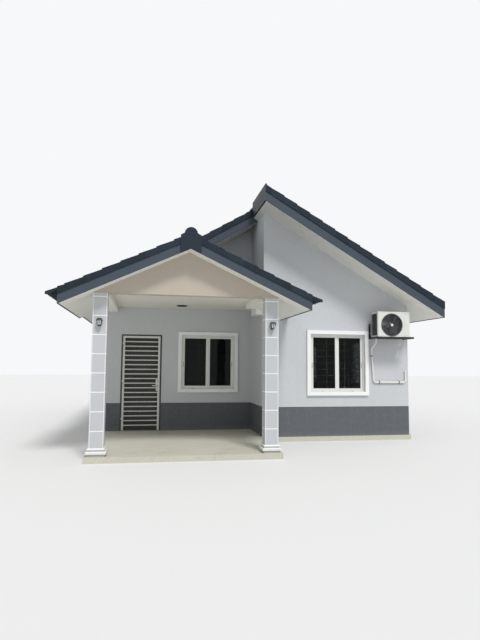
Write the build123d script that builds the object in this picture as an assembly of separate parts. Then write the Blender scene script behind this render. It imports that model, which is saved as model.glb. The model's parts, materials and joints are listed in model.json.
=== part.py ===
from build123d import *
import math
import os

# Bungalow with a gabled front bay and a gabled porch on two square columns.
# Millimetres. X runs along the street front, Y into the house and Z up.
# The origin is on the ground, under the main ridge, in the plane of the entrance wall's outer face.
os.makedirs("parts", exist_ok=True)

# Plan of the house
left_wall_x = -3335
right_wall_x = 3300
rear_wall_y = 7750
bay_depth = 1350
wall_thickness = 150
slab_height = 100
slab_margin = 30

# Main roof, with its ridge over the bay's side wall
main_pitch = 30.5
right_wall_head = 2946
room_ceiling_drop = 114
main_eave_overhang = 514
bay_rake_overhang = 675
left_rake_overhang = 700
rear_rake_overhang = 700
ridge_overshoot = 125
main_board_height = 190
main_tile_depth = 155
main_cap_radius = 120
main_cap_rise = 95

# Porch
column_width = 239
left_column_x = -3334
right_column_x = -387
column_front_y = -3200
column_top = 2790
porch_slab_margin = 70
ceiling_thickness = 12
pediment_thickness = 150
pediment_heel = 13
corner_box_width = 170
corner_box_depth = 480
corner_box_drop = 220

# Porch roof
porch_pitch = 25
porch_half_width = 2117
porch_rake_overhang = 300
porch_board_height = 155
porch_tile_depth = 120
porch_tile_overhang = 183
porch_cap_radius = 110
porch_cap_rise = 90
apex_plate_width = 350
apex_plate_thickness = 6

# Roof boards and tiles
fascia_thickness = 25
tile_step = 25
tile_course = 276
tile_edge = 50
verge_proud = 20

# Columns: how far each tier of the base stands proud of the shaft, and its height
plinth_proud = 26
plinth_height = 40
lower_mould_proud = 48
lower_mould_height = 45
neck_proud = 12
neck_height = 23
upper_mould_proud = 24
upper_mould_height = 27
mould_bevel = 14
groove_height = 12
groove_depth = 5
groove_count = 8
first_groove_height = 408
groove_pitch = 317.4

# Windows
window_size = 1400
window_sill_z = 961
surround_band = 80
surround_projection = 45
window_frame_bar = 25
window_frame_depth = 60
window_setback = 25
sash_stile = 50
sash_rail = 45
sash_depth = 24
sash_overlap = 4
glass_thickness = 6
bay_window_x = 1655
entrance_window_x = -1020
left_window_ys = (2100, 5650)
right_window_ys = (1100, 5150)
rear_window_xs = (-1750, 1750)

# Doorway with an inner leaf and an outer grille
door_left_x = -3006
door_width = 910
door_height = 2179
door_frame_bar = 28
door_frame_proud = 4
stop_width = 12
stop_depth = 30
swing_gap = 6
floor_gap = 8
latch_gap = 8
leaf_thickness = 40
leaf_setback = 106
hinge_offset = 14
knuckle_radius = 7
knuckle_length = 40
knuckle_gap = 0.3
hinge_foot_margin = 242
hinge_head_margin = 195
lever_height = 1000
lever_inset = 45
lever_length = 125
lever_bar = 18
lever_reach = 50
lever_shank_inset = 6
grille_stile = 45
grille_depth = 25
grille_setback = 5
grille_bar_height = 22
grille_bar_depth = 15
grille_bar_pitch = 105
grille_foot_gap = 125
lock_width = 90
lock_height = 140
lock_depth = 35
lock_centre_height = 1100

# Outdoor unit of the air conditioner
unit_window_gap = 35
unit_width = 735
unit_depth = 300
unit_drop = 131
unit_wall_gap = 150
unit_corner = 20
fan_left_margin = 82
fan_foot_margin = 12
fan_head_margin = 42
fan_radius = 238
fan_well_depth = 120
motor_radius = 60
motor_length = 15
shaft_radius = 8
hub_radius = 38
hub_length = 50
hub_depth = 35
hub_gap = 0.3
blade_clearance = 16
blade_count = 3
blade_root = 50
blade_tip = 190
blade_thickness = 4
blade_pitch = 28
guard_wire = 6
guard_rings = 6
guard_sides = 24
guard_spokes = 4
guard_rim = 12
guard_disc_radius = 38
bracket_bar = 40
bracket_overhang_left = 10
bracket_overhang_right = 90
wall_leg = 290
wall_leg_thickness = 10

# Pipe from the unit's underside down and along the wall
pipe_radius = 20
pipe_elbow_radius = 24
pipe_bend = 60
pipe_from_left = 60
pipe_from_back = 70
pipe_drop = 130
pipe_slope_drop = 250
pipe_wall_from_left = 38
pipe_slant = 43
pipe_low_z = 1247
pipe_end_margin = 78
pipe_end_z = 1479

# Lamps
lantern_drop = 428
lantern_cap_height = 40
lantern_cap_width = 104
lantern_cap_top = 56
lantern_body_height = 76
lantern_body_top = 84
lantern_body_foot = 52
lantern_tip_height = 14
lantern_tip_width = 20
lantern_plate_width = 50
lantern_plate_thickness = 8
lantern_arm = 20
lantern_standoff = 8
ceiling_lamp_radius = 160
ceiling_lamp_rim = 18
ceiling_lamp_dome = 27
ceiling_lamp_dome_radius = 145
ceiling_lamp_foot_radius = 105
ceiling_lamp_x = -1702
ceiling_lamp_y = -782

# Worked out from the driving dimensions
main_slope = math.tan(math.radians(main_pitch))
porch_slope = math.tan(math.radians(porch_pitch))
wall_top_at_ridge = right_wall_head + main_slope * right_wall_x
bay_front_y = -bay_depth
bay_rake_y = bay_front_y - bay_rake_overhang
left_rake_y = -left_rake_overhang
rear_rake_y = rear_wall_y + rear_rake_overhang
left_eave_x = left_wall_x - main_eave_overhang
right_eave_x = right_wall_x + main_eave_overhang
left_inner_x = left_wall_x + wall_thickness
right_inner_x = right_wall_x - wall_thickness
left_column_end = left_column_x + column_width
right_column_end = right_column_x + column_width
porch_centre_x = (left_column_x + right_column_end) / 2
porch_rake_y = column_front_y - porch_rake_overhang
porch_verge_y = porch_rake_y - verge_proud
porch_left_x = porch_centre_x - porch_half_width
porch_right_x = porch_centre_x + porch_half_width
porch_soffit_apex = column_top + pediment_heel + porch_slope * (porch_centre_x - left_column_x)
porch_ceiling_top = porch_soffit_apex - porch_slope * (porch_centre_x - left_column_end)
porch_ceiling_z = porch_ceiling_top - ceiling_thickness
opening_size = window_size - 2 * surround_band
window_centre_z = window_sill_z + window_size / 2
door_right_x = door_left_x + door_width
door_top = slab_height + door_height
leaf_foot = slab_height + floor_gap
leaf_head = door_top - door_frame_bar - swing_gap
hinge_low, hinge_high = leaf_foot + hinge_foot_margin, leaf_head - hinge_head_margin
lever_z = slab_height + lever_height
lock_z = slab_height + lock_centre_height
lantern_top_z = column_top - lantern_drop
unit_left_x = bay_window_x + window_size / 2 + unit_window_gap
unit_right_x = unit_left_x + unit_width
unit_back_y = bay_front_y - unit_wall_gap
unit_front_y = unit_back_y - unit_depth
unit_bottom_z = window_sill_z + window_size - unit_drop
fan_x = unit_left_x + fan_left_margin + fan_radius
fan_z = unit_bottom_z + fan_foot_margin + fan_radius
unit_top_z = fan_z + fan_radius + fan_head_margin
blade_radius = fan_radius - blade_clearance
beyond_roof = 9000


def block(x0, x1, y0, y1, z0, z1):
    """Box between two corners."""
    return Pos((x0 + x1) / 2, (y0 + y1) / 2, (z0 + z1) / 2) * Box(x1 - x0, y1 - y0, z1 - z0)


def prism_y(section, y0, y1):
    """Solid with a section of X, Z points, running from y0 to y1."""
    outline = Polyline(*[(x, y0, z) for x, z in section], close=True)
    return extrude(make_face(outline), amount=y1 - y0, dir=(0, 1, 0))


def prism_z(plan, z0, z1):
    """Solid with a plan of X, Y points, standing from z0 to z1."""
    outline = Polyline(*[(x, y, z0) for x, y in plan], close=True)
    return extrude(make_face(outline), amount=z1 - z0, dir=(0, 0, 1))


def upright(x, y, z, radius, height):
    """Vertical cylinder standing on z."""
    return Pos(x, y, z + height / 2) * Cylinder(radius, height)


def turned_y(x, y0, y1, z, radius):
    """Cylinder along Y between two planes."""
    return Pos(x, (y0 + y1) / 2, z) * Rot(90, 0, 0) * Cylinder(radius, y1 - y0)


def taper(x, y, z0, width0, z1, width1):
    """Square block that tapers from one width to another."""
    return loft([Pos(x, y, z0) * Rectangle(width0, width0), Pos(x, y, z1) * Rectangle(width1, width1)])


def save(name, *solids):
    """Writes one node."""
    shape = solids[0] if len(solids) == 1 else Compound(children=list(solids))
    export_step(shape, f"parts/{name}.step")


def main_soffit(x):
    """Underside of the main roof at a distance x from the ridge, on either side."""
    return wall_top_at_ridge - main_slope * abs(x)


def right_soffit(x):
    """Underside of the right slope, which runs on past the ridge over the bay."""
    return wall_top_at_ridge - main_slope * x


def porch_soffit(x):
    """Underside of the porch roof at x."""
    return porch_soffit_apex - porch_slope * abs(x - porch_centre_x)


def slope_layer(soffit, x0, x1, low, high):
    """Section of a flat layer of a roof slope between two heights over its underside."""
    return [(x0, soffit(x0) + low), (x1, soffit(x1) + low), (x1, soffit(x1) + high), (x0, soffit(x0) + high)]


def tile_layer(soffit, ridge_x, fascia_x, overhang, low, depth):
    """Section of the tiles of a slope, stepped at the lower edge of each course and thin past the fascia."""
    eave_x = fascia_x + math.copysign(overhang, fascia_x - ridge_x)
    courses = max(1, round(abs(eave_x - ridge_x) / tile_course))
    section = [(ridge_x, soffit(ridge_x) + low), (fascia_x, soffit(fascia_x) + low)]
    if overhang:
        under = low + depth - tile_edge
        section += [(fascia_x, soffit(fascia_x) + under), (eave_x, soffit(eave_x) + under)]
    for number in range(courses, 0, -1):
        lower_x = ridge_x + (eave_x - ridge_x) * number / courses
        upper_x = ridge_x + (eave_x - ridge_x) * (number - 1) / courses
        section.append((lower_x, soffit(lower_x) + low + depth))
        section.append((upper_x, soffit(upper_x) + low + depth - tile_step))
    return section


def ridge_cap(centre_x, tile_top, slope, radius, rise, y0, y1):
    """Rounded cap over a ridge, its crown a rise above the tiles' meeting line."""
    foot = tile_top - slope * radius - 2 * tile_step
    left, right = (centre_x - radius, y0, foot), (centre_x + radius, y0, foot)
    shoulder = tile_top + rise - radius
    left_top, right_top = (centre_x - radius, y0, shoulder), (centre_x + radius, y0, shoulder)
    crown = ThreePointArc(left_top, (centre_x, y0, tile_top + rise), right_top)
    outline = [Line(left, left_top), crown, Line(right_top, right), Line(right, left)]
    return extrude(make_face(outline), amount=y1 - y0, dir=(0, 1, 0))


def left_main_envelope():
    """Space taken by the main roof's left slope and all above it."""
    boards = prism_y(slope_layer(main_soffit, left_eave_x, 0, 0, beyond_roof), left_rake_y, rear_rake_y)
    verge = prism_y(slope_layer(main_soffit, left_eave_x, 0, main_board_height, beyond_roof),
                    left_rake_y - verge_proud, rear_rake_y)
    return boards + verge


def make_slabs():
    """Floor of the house and floor of the porch."""
    left, right = left_wall_x - slab_margin, right_wall_x + slab_margin
    front, rear = bay_front_y - slab_margin, rear_wall_y + slab_margin
    plan = [(left, -slab_margin), (-slab_margin, -slab_margin), (-slab_margin, front),
            (right, front), (right, rear), (left, rear)]
    save("floor_slab", prism_z(plan, 0, slab_height))
    porch_left = left_column_x - porch_slab_margin
    porch_front = column_front_y - porch_slab_margin
    porch_right = right_column_end + porch_slab_margin
    plan = [(porch_left, porch_front), (porch_right, porch_front), (porch_right, front),
            (-slab_margin, front), (-slab_margin, -slab_margin), (porch_left, -slab_margin)]
    save("porch_slab", prism_z(plan, 0, slab_height))


def gable_wall(x0, x1, y0, y1, foot=slab_height):
    """Wall across the house whose head follows the main roof."""
    section = [(x0, foot), (x1, foot), (x1, main_soffit(x1))]
    if x0 < 0 < x1:
        section.append((0, main_soffit(0)))
    section.append((x0, main_soffit(x0)))
    return prism_y(section, y0, y1)


def window_hole(placement):
    """Hole through a wall for a window."""
    return placement * Box(opening_size, 2 * wall_thickness + surround_projection, opening_size)


def window_places():
    """Centres of the windows on their walls' outer faces, looking inward along local Y."""
    return {
        "entrance": [Pos(entrance_window_x, 0, window_centre_z)],
        "bay": [Pos(bay_window_x, bay_front_y, window_centre_z)],
        "left": [Pos(left_wall_x, y, window_centre_z) * Rot(0, 0, -90) for y in left_window_ys],
        "right": [Pos(right_wall_x, y, window_centre_z) * Rot(0, 0, 90) for y in right_window_ys],
        "rear": [Pos(x, rear_wall_y, window_centre_z) * Rot(0, 0, 180) for x in rear_window_xs],
    }


def cut_windows(wall, places):
    """Wall with the holes of its windows."""
    for place in places:
        wall = wall - window_hole(place)
    return wall


def make_walls():
    """Outer walls, split beside and over the doorway."""
    places = window_places()
    save("front_wall_left", gable_wall(left_wall_x, door_left_x, 0, wall_thickness))
    save("front_wall_over_door", gable_wall(door_left_x, door_right_x, 0, wall_thickness, door_top))
    save("front_wall_right", cut_windows(gable_wall(door_right_x, 0, 0, wall_thickness), places["entrance"]))
    bay_back = bay_front_y + wall_thickness
    save("bay_front_wall", cut_windows(gable_wall(0, right_wall_x, bay_front_y, bay_back), places["bay"]))
    save("bay_side_wall", gable_wall(0, wall_thickness, bay_back, wall_thickness))
    rear_inner = rear_wall_y - wall_thickness
    left_wall = gable_wall(left_wall_x, left_inner_x, wall_thickness, rear_inner)
    right_wall = gable_wall(right_inner_x, right_wall_x, bay_back, rear_inner)
    rear_wall = gable_wall(left_wall_x, right_wall_x, rear_inner, rear_wall_y)
    save("left_wall", cut_windows(left_wall, places["left"]))
    save("right_wall", cut_windows(right_wall, places["right"]))
    save("rear_wall", cut_windows(rear_wall, places["rear"]))
    ceiling = [(left_inner_x, wall_thickness), (wall_thickness, wall_thickness), (wall_thickness, bay_back),
               (right_inner_x, bay_back), (right_inner_x, rear_inner), (left_inner_x, rear_inner)]
    ceiling_z = min(main_soffit(left_inner_x), main_soffit(right_inner_x)) - room_ceiling_drop
    save("inner_ceiling", prism_z(ceiling, ceiling_z, ceiling_z + ceiling_thickness))


def make_main_roof():
    """Boards, tiles, fascias and ridge cap of the main roof."""
    board, depth = main_board_height, main_tile_depth
    overshoot_end = left_rake_y - verge_proud
    inner_left, inner_right = left_eave_x + fascia_thickness, right_eave_x - fascia_thickness
    bay_inner, left_inner = bay_rake_y + fascia_thickness, left_rake_y + fascia_thickness
    rear_inner = rear_rake_y - fascia_thickness
    overshoot = fascia_thickness - ridge_overshoot

    right = prism_y(slope_layer(right_soffit, 0, inner_right, 0, board), bay_inner, rear_inner)
    right += prism_y(slope_layer(right_soffit, overshoot, 0, 0, board), bay_inner, overshoot_end)
    save("main_roof_right", right)
    save("main_roof_left", prism_y(slope_layer(main_soffit, inner_left, 0, 0, board), left_inner, rear_inner))

    bay_verge, rear_verge = bay_rake_y - verge_proud, rear_rake_y + verge_proud
    right_tiles = prism_y(tile_layer(right_soffit, 0, right_eave_x, 0, board, depth), bay_verge, rear_verge)
    overshoot_layer = slope_layer(right_soffit, overshoot, 0, board, board + depth - tile_step)
    right_tiles += prism_y(overshoot_layer, bay_verge, overshoot_end)
    left_tiles = prism_y(tile_layer(main_soffit, 0, left_eave_x, 0, board, depth), overshoot_end, rear_verge)
    save("main_tiles_right", right_tiles)
    save("main_tiles_left", left_tiles)

    tile_top = wall_top_at_ridge + board + depth
    cap = ridge_cap(0, tile_top, main_slope, main_cap_radius, main_cap_rise, overshoot_end, rear_verge)
    save("main_ridge_cap", cap - right_tiles - left_tiles)

    left_section = slope_layer(main_soffit, left_eave_x, 0, 0, board)
    right_section = slope_layer(main_soffit, 0, right_eave_x, 0, board)
    bay_section = slope_layer(right_soffit, -ridge_overshoot, right_eave_x, 0, board)
    bay_rake = prism_y(bay_section, bay_rake_y, bay_inner)
    left_rake = prism_y(left_section, left_rake_y, left_inner)
    rear_rake = prism_y(left_section, rear_inner, rear_rake_y)
    rear_rake += prism_y(right_section, rear_inner, rear_rake_y)
    save("main_rake_fascias", bay_rake, left_rake, rear_rake)
    left_eave = prism_y(slope_layer(main_soffit, left_eave_x, inner_left, 0, board), left_inner, rear_inner)
    right_eave = prism_y(slope_layer(main_soffit, inner_right, right_eave_x, 0, board), bay_inner, rear_inner)
    save("main_eave_fascias", left_eave, right_eave)
    side = prism_y(slope_layer(right_soffit, -ridge_overshoot, overshoot, 0, board), bay_inner, overshoot_end)
    side += prism_y(slope_layer(right_soffit, -ridge_overshoot, overshoot, board, board + depth),
                    bay_verge, overshoot_end)
    save("bay_side_fascia", side)


def porch_clearance():
    """All that the porch roof is cut back to: the main roof, the bay and the flat ceiling."""
    far_left = left_eave_x - porch_half_width
    bay = block(0, right_wall_x, bay_front_y, wall_thickness, 0, beyond_roof)
    house = block(far_left, right_wall_x, 0, wall_thickness, 0, beyond_roof)
    eave = block(far_left, left_wall_x, left_rake_y, wall_thickness, 0, beyond_roof)
    ceiling = block(right_column_x, 0, bay_front_y, 0, 0, porch_ceiling_top)
    return left_main_envelope() + bay + house + eave + ceiling


def make_porch_roof():
    """Boards, tiles, fascias, apex plate and ridge cap of the porch roof."""
    board, depth, overhang = porch_board_height, porch_tile_depth, porch_tile_overhang
    centre, back = porch_centre_x, 0
    inner_front = porch_rake_y + fascia_thickness
    inner_left, inner_right = porch_left_x + fascia_thickness, porch_right_x - fascia_thickness
    clearance = porch_clearance()

    left = prism_y(slope_layer(porch_soffit, inner_left, centre, 0, board), inner_front, back)
    right = prism_y(slope_layer(porch_soffit, centre, inner_right, 0, board), inner_front, back)
    save("porch_roof_left", left - clearance)
    save("porch_roof_right", right - clearance)

    left_section = tile_layer(porch_soffit, centre, porch_left_x, overhang, board, depth)
    right_section = tile_layer(porch_soffit, centre, porch_right_x, overhang, board, depth)
    left_tiles = prism_y(left_section, porch_verge_y, back) - clearance
    right_tiles = prism_y(right_section, porch_verge_y, back) - clearance
    save("porch_tiles_left", left_tiles)
    save("porch_tiles_right", right_tiles)

    tile_top = porch_soffit_apex + board + depth
    cap = ridge_cap(centre, tile_top, porch_slope, porch_cap_radius, porch_cap_rise, porch_verge_y, back)
    save("porch_ridge_cap", cap - left_tiles - right_tiles - clearance)

    front = prism_y(slope_layer(porch_soffit, porch_left_x, centre, 0, board), porch_rake_y, inner_front)
    front += prism_y(slope_layer(porch_soffit, centre, porch_right_x, 0, board), porch_rake_y, inner_front)
    save("porch_rake_fascia", front)
    left_eave = prism_y(slope_layer(porch_soffit, porch_left_x, inner_left, 0, board), inner_front, back)
    right_eave = prism_y(slope_layer(porch_soffit, inner_right, porch_right_x, 0, board), inner_front, back)
    save("porch_eave_fascias", left_eave - clearance, right_eave - clearance)

    plate_left, plate_right = centre - apex_plate_width / 2, centre + apex_plate_width / 2
    foot = [(x, porch_soffit(x)) for x in (plate_left, centre, plate_right)]
    head = [(x, z + board + depth) for x, z in reversed(foot)]
    save("porch_apex_plate", prism_y(foot + head, porch_verge_y - apex_plate_thickness, porch_verge_y))


def porch_beam(x0, x1):
    """Section of a side beam, from the columns' tops up to the roof."""
    return [(x0, column_top), (x1, column_top), (x1, porch_soffit(x1)), (x0, porch_soffit(x0))]


def make_porch_frame():
    """Pediment, side beams, corner box and ceiling of the porch."""
    back = column_front_y + pediment_thickness
    pediment = [(left_column_x, column_top), (right_column_end, column_top),
                (right_column_end, porch_soffit(right_column_end)), (porch_centre_x, porch_soffit_apex),
                (left_column_x, porch_soffit(left_column_x))]
    save("porch_pediment", prism_y(pediment, column_front_y, back))
    save("porch_beam_left", prism_y(porch_beam(left_column_x, left_column_end), back, 0))
    save("porch_beam_right", prism_y(porch_beam(right_column_x, right_column_end), back, bay_front_y))
    save("porch_corner_box", block(-corner_box_width, 0, bay_front_y, bay_front_y + corner_box_depth,
                                   porch_ceiling_z - corner_box_drop, porch_ceiling_z))
    plan = [(left_column_end, back), (right_column_x, back), (right_column_x, bay_front_y), (0, bay_front_y),
            (0, 0), (left_column_end, 0)]
    save("porch_ceiling", prism_z(plan, porch_ceiling_z, porch_ceiling_top))


def column(left_x):
    """Square column on a moulded base, with cut grooves round its shaft."""
    x, y = left_x + column_width / 2, column_front_y + column_width / 2

    def tier(proud, z0, z1, bevel=0):
        width = column_width + 2 * proud
        shape = Pos(x, y, (z0 + z1) / 2) * Box(width, width, z1 - z0)
        return chamfer(shape.faces().sort_by(Axis.Z)[-1].edges(), bevel) if bevel else shape

    shape = tier(0, slab_height, column_top)
    for number in range(groove_count):
        z = slab_height + first_groove_height + number * groove_pitch
        z0, z1 = z - groove_height / 2, z + groove_height / 2
        shape -= tier(groove_depth, z0, z1) - tier(-groove_depth, z0, z1)
    z = slab_height
    for proud, height, bevel in ((plinth_proud, plinth_height, 0),
                                 (lower_mould_proud, lower_mould_height, mould_bevel),
                                 (neck_proud, neck_height, 0),
                                 (upper_mould_proud, upper_mould_height, mould_bevel)):
        shape += tier(proud, z, z + height, bevel)
        z += height
    return shape


def lantern(x):
    """Lantern on a column's front face: back plate, arm, roofed cap, tapered body and tip."""
    plate_y = column_front_y - lantern_plate_thickness
    y = plate_y - lantern_standoff - lantern_cap_width / 2
    cap_z = lantern_top_z - lantern_cap_height
    body_z = cap_z - lantern_body_height
    tip_z = body_z - lantern_tip_height
    shape = taper(x, y, cap_z, lantern_cap_width, lantern_top_z, lantern_cap_top)
    shape += taper(x, y, body_z, lantern_body_foot, cap_z, lantern_body_top)
    shape += taper(x, y, tip_z, lantern_tip_width / 2, body_z, lantern_tip_width)
    shape += block(x - lantern_arm / 2, x + lantern_arm / 2, y, plate_y, cap_z, cap_z + lantern_arm)
    return shape + block(x - lantern_plate_width / 2, x + lantern_plate_width / 2, plate_y, column_front_y,
                         tip_z, lantern_top_z)


def make_columns():
    """Two columns with their lanterns, and the lamp under the porch ceiling."""
    save("column_left", column(left_column_x))
    save("column_right", column(right_column_x))
    save("column_lamps", *[lantern(x + column_width / 2) for x in (left_column_x, right_column_x)])
    rim_z = porch_ceiling_z - ceiling_lamp_rim
    rim = upright(ceiling_lamp_x, ceiling_lamp_y, rim_z, ceiling_lamp_radius, ceiling_lamp_rim)
    dome_place = Pos(ceiling_lamp_x, ceiling_lamp_y, rim_z - ceiling_lamp_dome / 2)
    dome = Cone(ceiling_lamp_foot_radius, ceiling_lamp_dome_radius, ceiling_lamp_dome)
    save("porch_ceiling_lamp", rim + dome_place * dome)


def ring(outer_x, outer_z, bar_x, bar_z, y0, y1):
    """Upright rectangular ring about the local origin."""
    outer = block(-outer_x / 2, outer_x / 2, y0, y1, -outer_z / 2, outer_z / 2)
    inner_x, inner_z = outer_x - 2 * bar_x, outer_z - 2 * bar_z
    return outer - block(-inner_x / 2, inner_x / 2, y0, y1, -inner_z / 2, inner_z / 2)


def window():
    """Sliding window about its centre: the fixed frame with its two sashes, and their panes."""
    y0 = window_setback
    frame = ring(opening_size, opening_size, window_frame_bar, window_frame_bar, y0, y0 + window_frame_depth)
    inner = opening_size - 2 * window_frame_bar
    sash_width = (inner + sash_overlap) / 2
    margin = (window_frame_depth - 2 * sash_depth) / 2
    panes = []
    for side, track in ((-1, y0 + margin), (1, y0 + margin + sash_depth)):
        place = Pos(side * (inner - sash_width) / 2, 0, 0)
        frame += place * ring(sash_width, inner, sash_stile, sash_rail, track, track + sash_depth)
        half_x, half_z = sash_width / 2 - sash_stile, inner / 2 - sash_rail
        pane_y = track + (sash_depth - glass_thickness) / 2
        panes.append(place * block(-half_x, half_x, pane_y, pane_y + glass_thickness, -half_z, half_z))
    return frame, panes


def make_windows():
    """Frames by wall, and the surrounds and panes of all walls."""
    frame, panes = window()
    surround = ring(window_size, window_size, surround_band, surround_band, -surround_projection, 0)
    surrounds, glass = [], []
    for wall, places in window_places().items():
        save(f"{wall}_window_frames", *[place * frame for place in places])
        for place in places:
            surrounds.append(place * surround)
            glass.extend(place * pane for pane in panes)
    save("window_surrounds", *surrounds)
    save("window_glass", *glass)


def knuckles(x, y, plate_x0, plate_x1, plate_y0, plate_y1, lift):
    """Hinge knuckles on one vertical axis, each with the plate that carries it."""
    shape = None
    for height in (hinge_low, (hinge_low + hinge_high) / 2, hinge_high):
        z0 = height + lift
        barrel = upright(x, y, z0, knuckle_radius, knuckle_length)
        plate = block(plate_x0, plate_x1, plate_y0, plate_y1, z0, z0 + knuckle_length)
        shape = barrel + plate if shape is None else shape + barrel + plate
    return shape


def lever(outer_x, leaf_y, out):
    """Lever handle with its shank, on the side of the leaf that out points to."""
    near, far = leaf_y + out * (lever_reach - lever_bar), leaf_y + out * lever_reach
    shank_x = outer_x - lever_shank_inset - lever_bar
    top = lever_z + lever_bar
    bar = block(outer_x - lever_length, outer_x, min(near, far), max(near, far), lever_z, top)
    return bar + block(shank_x, shank_x + lever_bar, min(leaf_y, far), max(leaf_y, far), lever_z, top)


def make_door_frame(inner_left, inner_right, head, hinge_x):
    """Frame with its stops and the fixed halves of both leaves' hinges."""
    face, stop_y = -door_frame_proud, leaf_setback - swing_gap
    outer = block(door_left_x, door_right_x, face, wall_thickness, slab_height, door_top)
    frame = outer - block(inner_left, inner_right, face, wall_thickness, slab_height, head)
    stop = block(inner_left, inner_right, stop_y - stop_depth, stop_y, slab_height, head)
    frame += stop - block(inner_left + stop_width, inner_right - stop_width, stop_y - stop_depth, stop_y,
                          slab_height, head - stop_width)
    plate_x = inner_left - 2 * swing_gap
    low = -knuckle_length - knuckle_gap
    grille_axis_y, leaf_axis_y = -hinge_offset, wall_thickness + hinge_offset
    frame += knuckles(hinge_x, grille_axis_y, plate_x, hinge_x, grille_axis_y, face, low)
    frame += knuckles(hinge_x, leaf_axis_y, plate_x, hinge_x, wall_thickness, leaf_axis_y, low)
    save("door_frame", frame)


def make_leaf(left, right, hinge_x):
    """Inner leaf with its hinge knuckles, and the levers on both of its faces."""
    leaf_back = leaf_setback + leaf_thickness
    axis_y = wall_thickness + hinge_offset
    leaf = block(left, right, leaf_setback, leaf_back, leaf_foot, leaf_head)
    leaf += knuckles(hinge_x, axis_y, hinge_x, left + 2 * swing_gap, leaf_back, axis_y, 0)
    save("door_leaf", leaf)
    outer_x = right - lever_inset
    save("door_handles", lever(outer_x, leaf_setback, -1), lever(outer_x, leaf_back, 1))


def make_grille(left, right, hinge_x):
    """Outer grille: two stiles and a top rail round flat bars, its hinge knuckles and its lock box."""
    y0, y1 = grille_setback, grille_setback + grille_depth
    rail_z = leaf_head - grille_stile
    grille = block(left, right, y0, y1, leaf_foot, leaf_head)
    grille -= block(left + grille_stile, right - grille_stile, y0, y1, leaf_foot, rail_z)
    bar_y0 = (y0 + y1 - grille_bar_depth) / 2
    lowest = slab_height + grille_foot_gap - grille_bar_height / 2
    bar_count = 1 + int((rail_z - grille_bar_height - lowest) / grille_bar_pitch)
    for number in range(bar_count):
        bar_z0 = lowest + number * grille_bar_pitch
        grille += block(left + grille_stile, right - grille_stile, bar_y0, bar_y0 + grille_bar_depth,
                        bar_z0, bar_z0 + grille_bar_height)
    axis_y = -hinge_offset
    grille += knuckles(hinge_x, axis_y, hinge_x, left + 2 * swing_gap, axis_y, y0, 0)
    save("grille", grille)
    save("grille_lock", block(right - lock_width, right, y0 - lock_depth, y0,
                              lock_z - lock_height / 2, lock_z + lock_height / 2))


def make_doorway():
    """Door frame, inner leaf and outer grille, hung on the same side."""
    inner_left, inner_right = door_left_x + door_frame_bar, door_right_x - door_frame_bar
    head = door_top - door_frame_bar
    hinge_x = inner_left + swing_gap / 2
    make_door_frame(inner_left, inner_right, head, hinge_x)
    left, right = inner_left + swing_gap, inner_right - latch_gap
    make_leaf(left, right, hinge_x)
    make_grille(left, right, hinge_x)


def fan_guard():
    """Flat guard about the local origin: rings and spokes round a plain disc, inside a rim."""
    def band(inner, outer):
        return RegularPolygon(outer, guard_sides) - RegularPolygon(inner, guard_sides)

    sketch = Circle(guard_disc_radius) + band(fan_radius - guard_wire, fan_radius + guard_rim)
    pitch = (fan_radius - guard_disc_radius) / guard_rings
    for number in range(1, guard_rings):
        radius = guard_disc_radius + number * pitch
        sketch += band(radius - guard_wire / 2, radius + guard_wire / 2)
    for number in range(guard_spokes):
        sketch += Rot(0, 0, 180 * number / guard_spokes) * Rectangle(2 * fan_radius, guard_wire)
    return extrude(Plane.XZ * sketch, guard_wire)


def fan():
    """Fan about the local origin, turning on Y, its hub running inward from there."""
    root_x = hub_radius / 2
    outline = Polyline((root_x, -blade_root / 2), (blade_radius, -blade_tip / 2),
                       (blade_radius, blade_tip / 2), (root_x, blade_root / 2), close=True)
    blade = extrude(make_face(outline) & Circle(blade_radius), blade_thickness / 2, both=True)
    shape = turned_y(0, 0, hub_length, 0, hub_radius)
    for number in range(blade_count):
        turn = Rot(0, 360 * number / blade_count, 0)
        shape += Pos(0, hub_length / 2, 0) * turn * Rot(90 + blade_pitch, 0, 0) * blade
    return shape


def make_brackets():
    """Two arms off the wall, each with a leg up the wall, and two rails that carry the unit."""
    left, right = unit_left_x - bracket_overhang_left, unit_right_x + bracket_overhang_right
    z0, z1 = unit_bottom_z - bracket_bar, unit_bottom_z
    frame = block(left, right, unit_front_y, unit_front_y + bracket_bar, z0, z1)
    frame += block(left, right, unit_back_y - bracket_bar, unit_back_y, z0, z1)
    for x in (left, right - bracket_bar):
        frame += block(x, x + bracket_bar, unit_front_y, bay_front_y, z0, z1)
        frame += block(x, x + bracket_bar, bay_front_y - wall_leg_thickness, bay_front_y, z0, z1 + wall_leg)
    save("ac_brackets", frame)


def make_pipe():
    """Pipe that leaves the unit's underside, follows the wall and turns into it through an elbow."""
    wall_y = bay_front_y - pipe_elbow_radius
    start_x, start_y = unit_left_x + pipe_from_left, unit_back_y - pipe_from_back
    wall_x, end_x = unit_left_x + pipe_wall_from_left, right_wall_x - pipe_end_margin
    drop_z = unit_bottom_z - pipe_drop
    path = FilletPolyline((start_x, start_y, unit_bottom_z), (start_x, start_y, drop_z),
                          (wall_x, wall_y, unit_bottom_z - pipe_slope_drop),
                          (wall_x + pipe_slant, wall_y, pipe_low_z),
                          (end_x, wall_y, pipe_low_z), (end_x, wall_y, pipe_end_z), radius=pipe_bend)
    pipe = sweep(Plane(origin=path @ 0, z_dir=path % 0) * Circle(pipe_radius), path=path)
    elbow = Pos(end_x, wall_y, pipe_end_z) * Sphere(pipe_elbow_radius)
    save("ac_pipe", pipe + elbow + turned_y(end_x, wall_y, bay_front_y, pipe_end_z, pipe_radius))


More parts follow.
